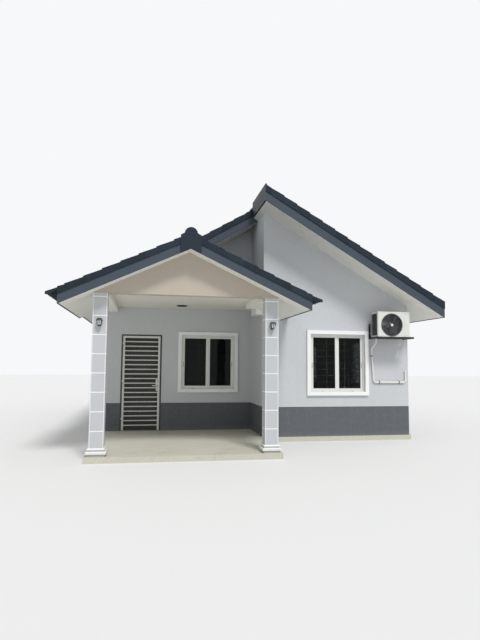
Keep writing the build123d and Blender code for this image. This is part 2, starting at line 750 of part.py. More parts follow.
def make_air_conditioner():
    """Outdoor unit with its fan on a motor shaft, its guard, its brackets and its pipe."""
    well_back, hub_y = unit_front_y + fan_well_depth, unit_front_y + hub_depth
    casing = block(unit_left_x, unit_right_x, unit_front_y, unit_back_y, unit_bottom_z, unit_top_z)
    casing = fillet(casing.edges().filter_by(Axis.Z), unit_corner)
    casing -= turned_y(fan_x, unit_front_y, well_back, fan_z, fan_radius)
    casing += turned_y(fan_x, well_back - motor_length, well_back, fan_z, motor_radius)
    casing += turned_y(fan_x, hub_y + hub_length + hub_gap, well_back, fan_z, shaft_radius)
    save("ac_casing", casing)
    save("ac_fan", Pos(fan_x, hub_y, fan_z) * fan())
    save("ac_fan_guard", Pos(fan_x, unit_front_y, fan_z) * fan_guard())
    make_brackets()
    make_pipe()


make_slabs()
make_walls()
make_main_roof()
make_porch_roof()
make_porch_frame()
make_columns()
make_windows()
make_doorway()
make_air_conditioner()
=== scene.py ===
import json
from math import copysign, cos, pi, radians, sin, tan

import bmesh
import bpy
from mathutils import Matrix, Vector


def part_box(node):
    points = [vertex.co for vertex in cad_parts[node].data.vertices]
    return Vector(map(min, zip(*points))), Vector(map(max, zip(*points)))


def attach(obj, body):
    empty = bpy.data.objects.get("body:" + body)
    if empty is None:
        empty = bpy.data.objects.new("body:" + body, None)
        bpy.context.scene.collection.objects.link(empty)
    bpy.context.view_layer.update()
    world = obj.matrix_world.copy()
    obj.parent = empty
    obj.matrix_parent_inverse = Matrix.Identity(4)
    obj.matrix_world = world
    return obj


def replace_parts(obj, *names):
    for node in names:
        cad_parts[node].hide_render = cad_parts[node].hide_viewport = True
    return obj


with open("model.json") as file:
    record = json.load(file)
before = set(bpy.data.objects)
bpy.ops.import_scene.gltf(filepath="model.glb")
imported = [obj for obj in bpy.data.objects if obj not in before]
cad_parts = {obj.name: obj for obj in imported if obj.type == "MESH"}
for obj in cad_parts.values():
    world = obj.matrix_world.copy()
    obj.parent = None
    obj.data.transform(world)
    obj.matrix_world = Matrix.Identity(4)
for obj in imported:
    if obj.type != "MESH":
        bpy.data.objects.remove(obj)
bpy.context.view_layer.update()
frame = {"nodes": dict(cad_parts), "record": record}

# Lengths are in metres and angles in degrees, apart from the sweep of the fan's blades, in radians.

# Camera, fitted to edges of the house in the photograph
CAMERA_AT = Vector((-2.4182, -11.9684, 1.6235))
CAMERA_YAW = 10.18
CAMERA_PITCH = 4.91
CAMERA_ROLL = 0.45
CAMERA_LENS = 28.80

# Roof
MAIN_PITCH = 30.5
PORCH_PITCH = 25.0
MAIN_TILE_DEPTH = 0.155
PORCH_TILE_DEPTH = 0.120
PORCH_BACK = -0.001
TILE_EDGE = 0.050
TILE_OVERHANG = 0.183
TILE_WIDTH = 0.30
COURSE = 0.276
TILE_STEP = 0.019
TILE_SKIN = 0.020
TILE_LAP = 0.03
ROLL = 0.014
VERGE_WIDTH = 0.17
VERGE_SKIN = 0.016
VERGE_INSET = 0.0128
VERGE_DRAW = 0.35
CAP_LENGTH = 0.40
CAP_COLLAR = 0.06
CAP_STEP = 0.012
SHOULDER_LIFT = 0.032
SHOULDER_SLOPE = 0.60

# Walls and columns
DADO_TOP = 0.725
PEDIMENT_BACK = -3.0
COLUMN_HALF = 0.1195
COLUMN_MARGIN = 0.024
BASE_TOP = 0.236
FIRST_LINE = 0.508
LINE_PITCH = 0.3174
LINES = 8
LINE_HALF = 0.012
# Width of the thin dark lines painted as groove shade along the column panels' edges
PANEL_EDGE_SHADE = 0.004
BASE_BANDS = ((0.208, BASE_TOP), (0.140, 0.185))

# Windows, measured from the middle of the opening and from the wall's outer face inward
WINDOW_HALF = 0.62
SURROUND_HALF = 0.70
SURROUND_BAND = 0.08
SURROUND_PROUD = 0.045
SURROUND_SOFT = 0.004
FRAME_FRONT = 0.025
FRAME_BAR = 0.025
SASH_FRONTS = (0.031, 0.055)
SASH_DEPTH = 0.024
SASH_STILE = 0.050
PANE_FRONT = 0.009
PANE_BACK = 0.015
PANE_HALF_X = 0.2485
PANE_HALF_Z = 0.55
GASKET_DEPTH = 0.004
SASH_OFFSET = 0.2965
INTERLOCK = 0.003
TRACK_HEIGHT = 0.007
TRACK_FRONT = 0.010
TRACK_BACK = 0.013
PULL_DROP = 0.05
PULL_HALF_X = 0.010
PULL_HALF_Z = 0.062
PULL_RIM = 0.0055
DRAIN_AT = 0.34
DRAIN_HALF = 0.016
BARS_DEEP = 0.115
BAR_COUNT = 9
BAR_RADIUS = 0.006
TIE_HALF = 0.010
TIE_SKIN = 0.004

# Door leaf and grille
LEAF_BACK = 0.146
LEAF_INSET = 0.02
DOOR_PANELS = ((0.26, 1.00), (1.22, 2.12))
PANEL_HALF = 0.30
FIELD_INSET = 0.08
LEVER_HALF = 0.015
PLATE_HALF = 0.021
PLATE_SKIN = 0.004
PLATE_FOOT = 0.99
PLATE_TOP = 1.20
KEYHOLE_Z = 1.035
LOCK_SCREW_X = 0.034
LOCK_SCREW_Z = 0.058

# Outdoor unit
UNIT_CORNER = 0.020
GUARD_WIRE = 0.0016
GUARD_RINGS = 14
GUARD_SPOKES = 8
GUARD_RADIUS = 0.238
GUARD_RIM = 0.006
GUARD_DISC = 0.040
WELL_DEPTH = 0.120
WELL_SKIN = 0.0012
HUB_FRONT = 0.035
HUB_BACK = 0.085
FAN_RADIUS = 0.222
FAN_ROOT = 0.034
FAN_BLADES = 3
BLADE_PITCH = 34
BLADE_TWIST = 9
BLADE_SWEEP = 0.35
BLADE_CAMBER = 0.010
BLADE_STEPS = 8
BLADE_RINGS = 10
LID_HEIGHT = 0.024
LID_LIP = 0.003
LID_CROWN = 0.004
SEAM_PROUD = 0.0005
SEAM_WIDTH = 0.0016
SCREW_INSET = 0.03
FIN_PITCH = 0.006
FIN_DEPTH = 0.004
FIN_HALF = 0.0008
COIL_WIRE = 0.0018
COIL_WIRE_OUT = 0.006
COIL_WIRE_PAST = 0.004
PIPE_RADIUS = 0.020
PIPE_BEND = 0.060
PIPE_ELBOW_RADIUS = 0.024
PIPE_SLEEVE_AT = 0.062
PIPE_POINTS = ((2.450, -1.570, 2.230), (2.450, -1.570, 2.100), (2.428, -1.374, 1.980), (2.471, -1.374, 1.247),
               (3.222, -1.374, 1.247), (3.222, -1.374, 1.479))
PIPE_CLIPS_UPRIGHT = ((2.4373, -1.374, 1.822),)
PIPE_CLIPS_LEVEL = ((2.605, -1.374, 1.247), (3.069, -1.374, 1.247))
CLIP_HALF = 0.009
CLIP_EAR_AT = 0.029
CLIP_EAR_HALF = 0.008

# Lamps
LANTERN_CAP_HALF = 0.052
LANTERN_PLATE = 0.008
LANTERN_STANDOFF = 0.008
LANTERN_CAP_HEIGHT = 0.040
LANTERN_FOOT = 0.116
LANTERN_WIDE = 0.042
LANTERN_NARROW = 0.026
LANTERN_BAR_INSET = 0.003
CEILING_LAMP = (-1.702, -0.782)
LAMP_STEPS = 10
LAMP_FOOT = 0.016
LAMP_RADIUS = 0.122

FLOOR_REACH = 60.0
UP = Vector((0.0, 0.0, 1.0))
RIGHT = Vector((1.0, 0.0, 0.0))
FRONTWARD = (0, -1, 0)
CORNERS = ((-1, -1), (1, -1), (1, 1), (-1, 1))


def srgb(red, green, blue):
    """Colour as it looks on screen, 0 to 255, as the linear value that shaders take."""
    def line(value):
        value /= 255
        return value / 12.92 if value <= 0.04045 else ((value + 0.055) / 1.055) ** 2.4
    return (line(red), line(green), line(blue), 1.0)


def put(socket, value):
    """Links an output to a socket, or sets the socket to a plain value."""
    if isinstance(value, bpy.types.NodeSocket):
        socket.id_data.links.new(value, socket)
    else:
        socket.default_value = value


def add_node(tree, kind, inputs, **settings):
    """A node with its settings, and with inputs by name or number linked or set."""
    made = tree.nodes.new(kind)
    for key, value in settings.items():
        setattr(made, key, value)
    for key, value in inputs.items():
        put(made.inputs[key], value)
    return made


class Finish:
    """A material whose nodes are wired up step by step."""

    def __init__(self, name, roughness, metallic=0.0):
        self.material = bpy.data.materials.new(name)
        self.material.use_nodes = True
        self.tree = self.material.node_tree
        self.shader = self.tree.nodes["Principled BSDF"]
        self.set("Roughness", roughness)
        self.set("Metallic", metallic)
        self.place = self.tree.nodes.new("ShaderNodeTexCoord").outputs["Object"]

    def set(self, name, value):
        """Links an output to one of the shader's inputs, or sets that input."""
        put(self.shader.inputs[name], value)

    def node(self, kind, inputs, **settings):
        return add_node(self.tree, kind, inputs, **settings)

    def stretch(self, *scale):
        """Object coordinates, scaled along each axis."""
        return self.node("ShaderNodeMapping", {"Vector": self.place, "Scale": scale}).outputs["Vector"]

    def noise(self, scale, detail=4.0, roughness=0.55, at=None):
        inputs = {"Vector": at or self.place, "Scale": scale, "Detail": detail, "Roughness": roughness}
        return self.node("ShaderNodeTexNoise", inputs).outputs["Fac"]

    def axis(self, name):
        return self.node("ShaderNodeSeparateXYZ", {"Vector": self.place}).outputs[name]

    def op(self, kind, *values):
        """Result of a sum on values."""
        return self.node("ShaderNodeMath", dict(enumerate(values)), operation=kind).outputs["Value"]

    def away(self, value, middle):
        """Distance of a value from a middle."""
        return self.op("ABSOLUTE", self.op("SUBTRACT", value, middle))

    def span(self, value, low, high, to_low=0.0, to_high=1.0):
        """Value mapped from one range to another, held at its ends."""
        inputs = {"Value": value, "From Min": low, "From Max": high, "To Min": to_low, "To Max": to_high}
        return self.node("ShaderNodeMapRange", inputs).outputs["Result"]

    def band(self, value, low, high, soft=0.001):
        """1 between low and high, 0 outside, with soft edges."""
        return self.op("MULTIPLY", self.span(value, low - soft, low), self.span(value, high, high + soft, 1.0, 0.0))

    def mix(self, factor, first, second):
        """Mixes two colours. A plain one is given as it looks on screen, 0 to 255."""
        first, second = (srgb(*value) if isinstance(value, tuple) else value for value in (first, second))
        return self.node("ShaderNodeMix", {0: factor, 6: first, 7: second}, data_type="RGBA").outputs[2]

    def stain(self, value, low, high, most, under, over):
        """Lays a colour over another, more of it as a value runs from low to high."""
        return self.mix(self.span(value, low, high, 0.0, most), under, over)

    def rough(self, value, least, most):
        """Roughness that changes with a noise."""
        self.set("Roughness", self.span(value, 0.3, 0.7, least, most))

    def bump(self, height, distance, strength):
        """Lays a bump over those already there."""
        made = self.node("ShaderNodeBump", {"Height": height, "Distance": distance, "Strength": strength})
        normal = self.shader.inputs["Normal"]
        if normal.links:
            put(made.inputs["Normal"], normal.links[0].from_socket)
        put(normal, made.outputs["Normal"])

    def coat(self, tone, base, other, stains, rough, bump):
        """Two tones, stains over them, roughness that changes with a noise, and a bump."""
        colour = self.mix(tone, base, other)
        for value, low, high, most, over in stains:
            colour = self.stain(value, low, high, most, colour, over)
        self.set("Base Color", colour)
        self.rough(*rough)
        self.bump(*bump)
        return self.material


def splash(finish, colour, amount, reach):
    """Pale dust that rain throws up on the foot of a wall."""
    ragged = finish.op("MULTIPLY_ADD", finish.noise(5.0, 6.0), 0.3, 0.5)
    low = finish.span(finish.axis("Z"), 0.08, reach, 1.0, 0.0)
    factor = finish.op("MULTIPLY", finish.op("POWER", low, 2.0), ragged)
    return finish.mix(finish.op("MULTIPLY", factor, amount * 2), colour, (176, 168, 150))


def wall_finish():
    """Cool grey emulsion over render, with a dark grey dado and warmer paint on the pediment."""
    finish = Finish("wall_paint", 0.72)
    clouds = finish.noise(0.9, 5.0)
    fine = finish.noise(14.0, 4.0)
    upper = finish.mix(clouds, (189, 192, 195), (200, 202, 204))
    gable = finish.mix(clouds, (178, 168, 154), (188, 178, 164))
    upper = finish.mix(finish.op("LESS_THAN", finish.axis("Y"), PEDIMENT_BACK), upper, gable)
    lower = finish.mix(clouds, (80, 84, 89), (91, 95, 100))
    edge = finish.op("MULTIPLY_ADD", finish.noise(30.0, 2.0), 0.004, DADO_TOP - 0.002)
    colour = finish.mix(finish.op("LESS_THAN", finish.axis("Z"), edge), upper, lower)
    colour = finish.stain(fine, 0.45, 0.75, 0.10, colour, (160, 162, 166))
    streaks = finish.noise(1.0, 6.0, at=finish.stretch(9.0, 9.0, 0.35))
    colour = finish.stain(streaks, 0.55, 0.8, 0.06, colour, (150, 149, 146))
    finish.set("Base Color", splash(finish, colour, 0.16, 0.22))
    finish.rough(fine, 0.66, 0.80)
    finish.bump(finish.noise(110.0, 3.0), 0.0012, 0.6)
    finish.bump(clouds, 0.01, 0.4)
    return finish.material


def column_finish():
    """Grey panels between white margins and white lines, with white mouldings, and thin dark lines painted along their
    edges as shade in the grooves.
    """
    finish = Finish("column_paint", 0.6)
    op, away = finish.op, finish.away
    left_low, left_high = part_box("column_left")
    right_low, right_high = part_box("column_right")
    tone = finish.noise(1.5, 5.0)
    grey = finish.mix(tone, (182, 185, 188), (192, 195, 197))
    pale = finish.mix(tone, (206, 208, 209), (214, 216, 217))
    white = finish.mix(tone, (230, 231, 232), (238, 239, 239))

    aside = away(finish.axis("X"), (left_low.x + right_high.x) / 2)
    across = away(aside, (right_low.x - left_low.x) / 2)
    into = away(finish.axis("Y"), (left_low.y + left_high.y) / 2)
    height = finish.axis("Z")
    turns = op("DIVIDE", op("SUBTRACT", height, FIRST_LINE - LINE_PITCH / 2), LINE_PITCH)
    from_line = op("MULTIPLY", away(op("FRACT", turns), 0.5), LINE_PITCH)
    lined = finish.band(turns, 0.0, LINES)
    above_base = op("GREATER_THAN", height, BASE_TOP + 0.001)

    def margins(width):
        """1 on the margins along the arrises, widened by an amount."""
        inset = op("GREATER_THAN", op("MINIMUM", across, into), COLUMN_HALF - COLUMN_MARGIN - width)
        return op("MULTIPLY", inset, above_base)

    def lines(width):
        """1 on the level lines, widened by an amount."""
        return op("MULTIPLY", op("LESS_THAN", from_line, LINE_HALF + width), lined)

    # Painted shade: thin dark lines along the edges of the margins and the white lines stand in for the shade in their
    # grooves.
    edge_shade = op("MAXIMUM", margins(PANEL_EDGE_SHADE), lines(PANEL_EDGE_SHADE))
    colour = finish.mix(op("MULTIPLY", edge_shade, 0.45), grey, (104, 106, 112))
    colour = finish.mix(margins(0.0), colour, pale)
    mark = lines(0.0)
    for foot, top in BASE_BANDS:
        mark = op("MAXIMUM", mark, finish.band(height, foot, top))
    colour = finish.mix(mark, colour, white)
    colour = finish.stain(finish.noise(45.0, 4.0), 0.58, 0.8, 0.2, colour, (150, 148, 144))
    finish.set("Base Color", splash(finish, colour, 0.4, 0.4))
    finish.bump(finish.noise(120.0, 3.0), 0.0008, 0.6)
    return finish.material


def concrete_finish():
    """Steel-floated cement with darker damp patches and fine pits."""
    finish = Finish("concrete", 0.8)
    fine = finish.noise(35.0, 6.0, 0.7)
    stains = [(fine, 0.35, 0.65, 0.5, (176, 173, 161)), (finish.noise(2.3, 4.0), 0.58, 0.75, 0.35, (120, 117, 110))]
    finish.coat(finish.noise(0.8, 7.0, 0.62), (182, 181, 168), (207, 205, 190), stains, (fine, 0.7, 0.92),
                (fine, 0.002, 0.6))
    cells = finish.node("ShaderNodeTexVoronoi", {"Vector": finish.place, "Scale": 60.0})
    finish.bump(cells.outputs["Distance"], 0.0008, 0.4)
    return finish.material


def tile_finish():
    """Dark slate-blue concrete roof tiles, a little different from tile to tile, with weathering."""
    finish = Finish("roof_tile", 0.62)
    finish.set("Specular IOR Level", 0.2)
    cut = finish.node("ShaderNodeVectorMath", {0: finish.place, 1: (COURSE, TILE_WIDTH, 50.0)}, operation="SNAP")
    tone = finish.node("ShaderNodeTexWhiteNoise", {"Vector": cut.outputs["Vector"]}).outputs["Value"]
    dirt, grit = finish.noise(7.0, 7.0, 0.65), finish.noise(220.0, 3.0)
    stains = [(dirt, 0.5, 0.8, 0.35, (62, 70, 78)), (grit, 0.55, 0.8, 0.35, (20, 27, 35))]
    return finish.coat(tone, (25, 35, 45), (37, 48, 60), stains, (dirt, 0.5, 0.74), (grit, 0.0009, 0.7))


def timber_finish():
    """Dark stained door timber with vertical grain."""
    finish = Finish("dark_door", 0.42)
    grain = finish.noise(4.0, 8.0, 0.6, at=finish.stretch(22.0, 22.0, 1.2))
    pores = finish.noise(9.0, 3.0, at=finish.stretch(60.0, 60.0, 2.5))
    return finish.coat(finish.span(grain, 0.3, 0.7), (36, 36, 34), (58, 58, 55),
                       [(pores, 0.55, 0.75, 0.5, (22, 22, 21))], (grain, 0.34, 0.5), (grain, 0.0008, 0.5))


def glass_finish():
    """Dark tinted float glass."""
    finish = Finish("tinted_glass", 0.03)
    smudge = finish.noise(3.0, 5.0)
    finish.set("Base Color", finish.mix(smudge, (112, 118, 119), (124, 129, 130)))
    finish.set("Roughness", finish.span(smudge, 0.4, 0.8, 0.02, 0.07))
    finish.set("Transmission Weight", 1.0)
    finish.set("IOR", 1.2)
    return finish.material


def lamp_glass_finish():
    """White opal diffuser."""
    finish = Finish("lamp_cover", 0.3)
    finish.set("Base Color", finish.mix(finish.noise(8.0), (204, 202, 194), (216, 214, 206)))
    finish.set("Subsurface Weight", 0.2)
    finish.bump(finish.noise(60.0), 0.0003, 0.4)
    return finish.material


def plain_paint(name, base, other, roughness, grain, depth):
    """Brushed or rolled paint with a slight change of tone."""
    finish = Finish(name, roughness)
    tone = finish.noise(1.7, 5.0)
    return finish.coat(tone, base, other, [(finish.noise(60.0, 3.0), 0.6, 0.8, 0.15, (140, 138, 132))],
                       (tone, roughness - 0.06, roughness + 0.08), (finish.noise(grain, 3.0), depth, 0.7))


def metal_paint(name, base, other, roughness, metallic):
    """Sprayed or powder-coated metal with a fine orange peel and light dust."""
    finish = Finish(name, roughness, metallic)
    dust = finish.noise(24.0, 5.0)
    return finish.coat(finish.noise(2.5, 4.0), base, other, [(dust, 0.55, 0.8, 0.2, (150, 146, 136))],
                       (dust, roughness - 0.05, roughness + 0.12), (finish.noise(420.0, 2.0), 0.0002, 0.5))


def board_paint(name, base, other):
    """Painted fascia board with faint grain along it and small knocks."""
    finish = Finish(name, 0.5)
    finish.set("Specular IOR Level", 0.25)
    grain = finish.noise(6.0, 6.0, 0.6, at=finish.stretch(0.6, 0.6, 6.0))
    return finish.coat(finish.noise(1.3, 4.0), base, other, [(grain, 0.5, 0.8, 0.12, (84, 92, 100))],
                       (grain, 0.42, 0.6), (grain, 0.001, 0.5))


# Two tones, roughness, and the scale and depth of the grain
PLAIN_PAINTS = {
    "ceiling_board": ((224, 221, 211), (232, 229, 220), 0.7, 40.0, 0.0006),
    "soffit_paint": ((226, 225, 217), (234, 233, 226), 0.68, 40.0, 0.0006),
    "surround_paint": ((233, 234, 234), (240, 241, 241), 0.6, 90.0, 0.0006),
    "fan_plastic": ((56, 60, 62), (68, 72, 74), 0.42, 200.0, 0.0002),
    "white_plastic": ((218, 217, 212), (226, 225, 221), 0.4, 200.0, 0.0002),
}
# Two tones, roughness and metallic
METAL_PAINTS = {
    "white_aluminium": ((216, 216, 212), (226, 226, 222), 0.34, 0.0),
    "white_steel": ((206, 206, 200), (218, 218, 212), 0.38, 0.0),
    "dark_steel": ((44, 46, 50), (56, 58, 62), 0.45, 0.0),
    "handle_metal": ((178, 176, 170), (190, 188, 182), 0.28, 1.0),
    "unit_casing": ((210, 211, 206), (220, 221, 216), 0.4, 0.0),
    "unit_guard": ((82, 86, 88), (94, 98, 100), 0.42, 0.0),
    "black_steel": ((24, 24, 25), (34, 34, 35), 0.42, 0.0),
}
# Two tones
BOARD_PAINTS = {
    "fascia_paint": ((60, 69, 79), (70, 79, 89)),
    "dark_trim": ((25, 34, 45), (34, 43, 55)),
}
FINISHES = {"concrete": concrete_finish(), "wall_paint": wall_finish(), "roof_tile": tile_finish(),
            "column_paint": column_finish(), "tinted_glass": glass_finish(), "dark_door": timber_finish(),
            "lamp_cover": lamp_glass_finish()}
for make, paints in ((plain_paint, PLAIN_PAINTS), (metal_paint, METAL_PAINTS), (board_paint, BOARD_PAINTS)):
    FINISHES.update({name: make(name, *values) for name, values in paints.items()})


def finish_nodes():
    """Gives each CAD node the finish of its slot."""
    for entry in frame["record"]["subparts"]:
        node = frame["nodes"][entry["node"]]
        node.data.materials.clear()
        node.data.materials.append(FINISHES[entry["material_slot"]])


def add_box(mesh, low, high, place=None):
    """Box between two corners, in a place of its own where one is given."""
    size = Vector(high) - Vector(low)
    matrix = Matrix.Translation((Vector(high) + Vector(low)) / 2) @ Matrix.Diagonal(size.to_4d())
    bmesh.ops.create_cube(mesh, size=1.0, matrix=(place or Matrix()) @ matrix)


def add_rings(mesh, rings, loop=False):
    """Solid through rings of points: closed by end faces, or joined from the last ring to the first."""
    made = [[mesh.verts.new(point) for point in ring] for ring in rings]
    pairs = list(zip(made, made[1:])) + ([(made[-1], made[0])] if loop else [])
    for first, second in pairs:
        for number in range(len(first)):
            after = (number + 1) % len(first)
            mesh.faces.new((first[number], first[after], second[after], second[number]))
    if not loop:
        mesh.faces.new(list(reversed(made[0])))
        mesh.faces.new(made[-1])


def circle(centre, side, other, radius, count):
    """Points of a circle in the plane of two directions."""
    turns = [2 * pi * number / count for number in range(count)]
    return [centre + (side * cos(turn) + other * sin(turn)) * radius for turn in turns]


def ring_points(centre, along, radius, count):
    """Points of a circle about an axis."""
    along = Vector(along).normalized()
    side = along.orthogonal().normalized()
    return circle(Vector(centre), side, along.cross(side), radius, count)


def add_rod(mesh, start, end, radius, count=12):
    """Round bar between two points."""
    along = Vector(end) - Vector(start)
    add_rings(mesh, [ring_points(start, along, radius, count), ring_points(end, along, radius, count)])


def add_lathe(mesh, centre, along, profile, count=32):
    """Turned solid through pairs of distance along the axis and radius."""
    along = Vector(along).normalized()
    add_rings(mesh, [ring_points(Vector(centre) + along * distance, along, radius, count)
                     for distance, radius in profile])


def add_torus(mesh, centre, along, radius, wire, count, sides):
    """Wire ring about an axis."""
    along = Vector(along).normalized()
    add_rings(mesh, [circle(point, (point - Vector(centre)).normalized(), along, wire, sides)
                     for point in ring_points(centre, along, radius, count)], loop=True)


def bent_path(points, radius, steps=8):
    """Points of a path whose corners are rounded to arcs."""
    points = [Vector(point) for point in points]
    path = [points[0]]
    for before, corner, after in zip(points, points[1:], points[2:]):
        back, ahead = (before - corner).normalized(), (after - corner).normalized()
        half = back.angle(ahead) / 2
        centre = corner + (back + ahead).normalized() * radius / sin(half)
        first = corner + back * radius / tan(half) - centre
        last = corner + ahead * radius / tan(half) - centre
        reach = first.length
        path += [centre + first.normalized().slerp(last.normalized(), step / steps) * reach
                 for step in range(steps + 1)]
    return path + [points[-1]]


def add_tube(mesh, path, radius, count):
    """Round tube along a path."""
    runs = [(after - before).normalized() for before, after in zip(path, path[1:])]
    ways = [runs[0]] + [(first + second).normalized() for first, second in zip(runs, runs[1:])] + [runs[-1]]
    side = ways[0].orthogonal().normalized()
    rings = []
    for point, way in zip(path, ways):
        side = (side - way * side.dot(way)).normalized()
        rings.append(circle(point, side, way.cross(side), radius, count))
    add_rings(mesh, rings)


def add_moulding(mesh, place, half_x, half_z, profile):
    """Mitred rectangular frame about a place. The profile's points are inset from its edge, and local Y."""
    add_rings(mesh, [[place @ Vector((side * (half_x - inset), y, end * (half_z - inset))) for inset, y in profile]
                     for side, end in CORNERS], loop=True)


def spread(low, high, count):
    """Even places from low to high, both included."""
    return [low + (high - low) * number / (count - 1) for number in range(count)]


def show(name, data):
    """A new object in the scene."""
    obj = bpy.data.objects.new(name, data)
    bpy.context.scene.collection.objects.link(obj)
    return obj


def as_data(name, mesh):
    """Turns a bmesh into mesh data and frees it."""
    data = bpy.data.meshes.new(name)
    mesh.to_mesh(data)
    mesh.free()
    return data


def piece(name, mesh, slot, body="house", bevel=0.0, smooth=False, segments=2):
    """Turns a bmesh into a piece of the object that rides on a body."""
    bmesh.ops.recalc_face_normals(mesh, faces=mesh.faces)
    data = as_data(name, mesh)
    obj = show(name, data)
    data.materials.append(FINISHES[slot])
    if smooth:
        data.polygons.foreach_set("use_smooth", [True] * len(data.polygons))
        data.set_sharp_from_angle(angle=radians(35))
    if bevel:
        edge = obj.modifiers.new("edges", "BEVEL")
        edge.width = bevel
        edge.segments = segments
        edge.limit_method = "ANGLE"
        edge.angle_limit = radians(40)
    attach(obj, body)
    return obj


def join(mesh, other):
    """Adds one bmesh to another and frees it."""
    data = as_data("joined", other)
    mesh.from_mesh(data)
    bpy.data.meshes.remove(data)


def clip(mesh, point, normal):
    """Cuts off all that lies beyond a plane and closes the cut."""
    parts = mesh.verts[:] + mesh.edges[:] + mesh.faces[:]
    cut = bmesh.ops.bisect_plane(mesh, geom=parts, dist=1e-5, plane_co=point, plane_no=normal, clear_outer=True)
    edges = [item for item in cut["geom_cut"] if isinstance(item, bmesh.types.BMEdge)]
    if edges:
        bmesh.ops.edgeloop_fill(mesh, edges=edges)


class Slope:
    """A roof slope. Heights are counted from the plane through the lower edges of its tiles."""

    def __init__(self, ridge_x, eave_x, eave_top, pitch, depth, overhang=0.0):
        self.ridge_x, self.eave_x, self.eave_top = ridge_x, eave_x, eave_top
        self.rise = tan(radians(pitch))
        self.run = abs(eave_x - ridge_x)
        self.courses = round(self.run / COURSE)
        self.depth, self.overhang = depth, overhang

    def point(self, run, y, height):
        """run is the level distance from the ridge."""
        side = 1 if self.eave_x > self.ridge_x else -1
        return Vector((self.ridge_x + side * run, y, self.eave_top + (self.run - run) * self.rise + height))


# Across one tile: share of its width and height of the roll there
TILE_PROFILE = ((0.0, 0.1), (0.02, 0.9), (0.07, 1.0), (0.17, 1.0), (0.24, 0.55), (0.30, 0.08), (0.34, 0.0),
                (0.50, 0.0), (0.54, 0.08), (0.60, 0.55), (0.67, 1.0), (0.77, 1.0), (0.84, 0.55), (0.90, 0.08),
                (0.94, 0.0), (0.995, 0.0))


def tile_rows(y0, y1):
    """Places along the ridge and roll heights across all tiles between two verges."""
    count = max(1, round((y1 - y0) / TILE_WIDTH))
    width = (y1 - y0) / count
    rows = [(y0 + (number + share) * width, (height - 1.0) * ROLL)
            for number in range(count) for share, height in TILE_PROFILE]
    return rows + [(y1, -ROLL)]


def lay_course(mesh, slope, lower_run, upper_run, rows):
    """One closed row of interlocking tiles, its lower edge lifted on the row below."""
    ends = ((lower_run, 0.0), (upper_run, TILE_STEP), (upper_run, TILE_STEP + TILE_SKIN), (lower_run, TILE_SKIN))
    add_rings(mesh, [[slope.point(run, y, roll - drop) for run, drop in ends] for y, roll in rows])


def lay_verge(mesh, slope, lower_run, upper_run, y_out, y_in, leg):
    """One verge tile: a cap over the end of a course with a leg down the outside, drawn in under the next one."""
    skin = copysign(VERGE_SKIN, y_in - y_out)
    ends = []
    for run, step, outer in ((lower_run, 0.0, y_out), (upper_run, TILE_STEP, y_out + skin * VERGE_DRAW)):
        inner, under = outer + skin, -VERGE_SKIN - step
        ends.append([slope.point(run, y, height) for y, height in (
            (outer, -leg), (outer, -step), (y_in, -step), (y_in, under), (inner, under), (inner, -leg))])
    add_rings(mesh, ends)


def add_slab(mesh, slope, run0, run1, y0, y1, heights):
    """Flat slab along a slope, between two heights."""
    plan = ((run0, y0), (run1, y0), (run1, y1), (run0, y1))
    add_rings(mesh, [[slope.point(run, y, height) for run, y in plan] for height in heights])


def lay_slope(slope, y0, y1, verges):
    """Underlay, courses and verge tiles of a slope between two places along the ridge."""
    mesh = bmesh.new()
    boards_run = slope.run - slope.overhang
    outer = [y_out for y_out, _ in verges]
    y0, y1 = y0 + VERGE_INSET * (y0 in outer), y1 - VERGE_INSET * (y1 in outer)
    add_slab(mesh, slope, 0.0, boards_run, y0, y1, (-slope.depth, -2 * TILE_SKIN - TILE_STEP - ROLL))
    rows = tile_rows(y0, y1)
    for number in range(slope.courses):
        lower = slope.run * (number + 1) / slope.courses
        upper = slope.run * number / slope.courses - TILE_LAP if number else 0.0
        lay_course(mesh, slope, lower, upper, rows)
        meets = [(lower, upper)]
        if upper < boards_run < lower - 0.001:
            meets = [(lower, boards_run), (boards_run, upper)]
        for y_out, y_in in verges:
            for low_run, high_run in meets:
                leg = TILE_EDGE if low_run > boards_run + 0.001 else slope.depth
                lay_verge(mesh, slope, low_run, high_run, y_out, y_in, leg)
    return mesh


def cap_section(centre_x, y, radius, crown, foot):
    """Half-round outline with straight sides down to its foot."""
    arc = [(radius * cos(turn), crown - radius + radius * sin(turn)) for turn in spread(0.0, pi, 13)]
    return [Vector((centre_x + x, y, z)) for x, z in [(radius, foot), *arc, (-radius, foot)]]


def lay_caps(node, y0, y1):
    """Half-round ridge tiles, each with a collar over the next."""
    low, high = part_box(node)
    centre_x, radius = (low.x + high.x) / 2, (high.x - low.x) / 2
    count = max(1, round((y1 - y0) / CAP_LENGTH))
    length = (y1 - y0) / count
    mesh = bmesh.new()
    for number in range(count):
        start = y0 + number * length
        for first, last, step in ((start, start + CAP_COLLAR, 0.0), (start + CAP_COLLAR, start + length, CAP_STEP)):
            add_rings(mesh, [cap_section(centre_x, y, radius - step, high.z - step, low.z) for y in (first, last)])
    return mesh


def place_roof(name, node, mesh):
    """A roof piece that stands for its plain node."""
    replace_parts(piece(name, mesh, "roof_tile"), node)


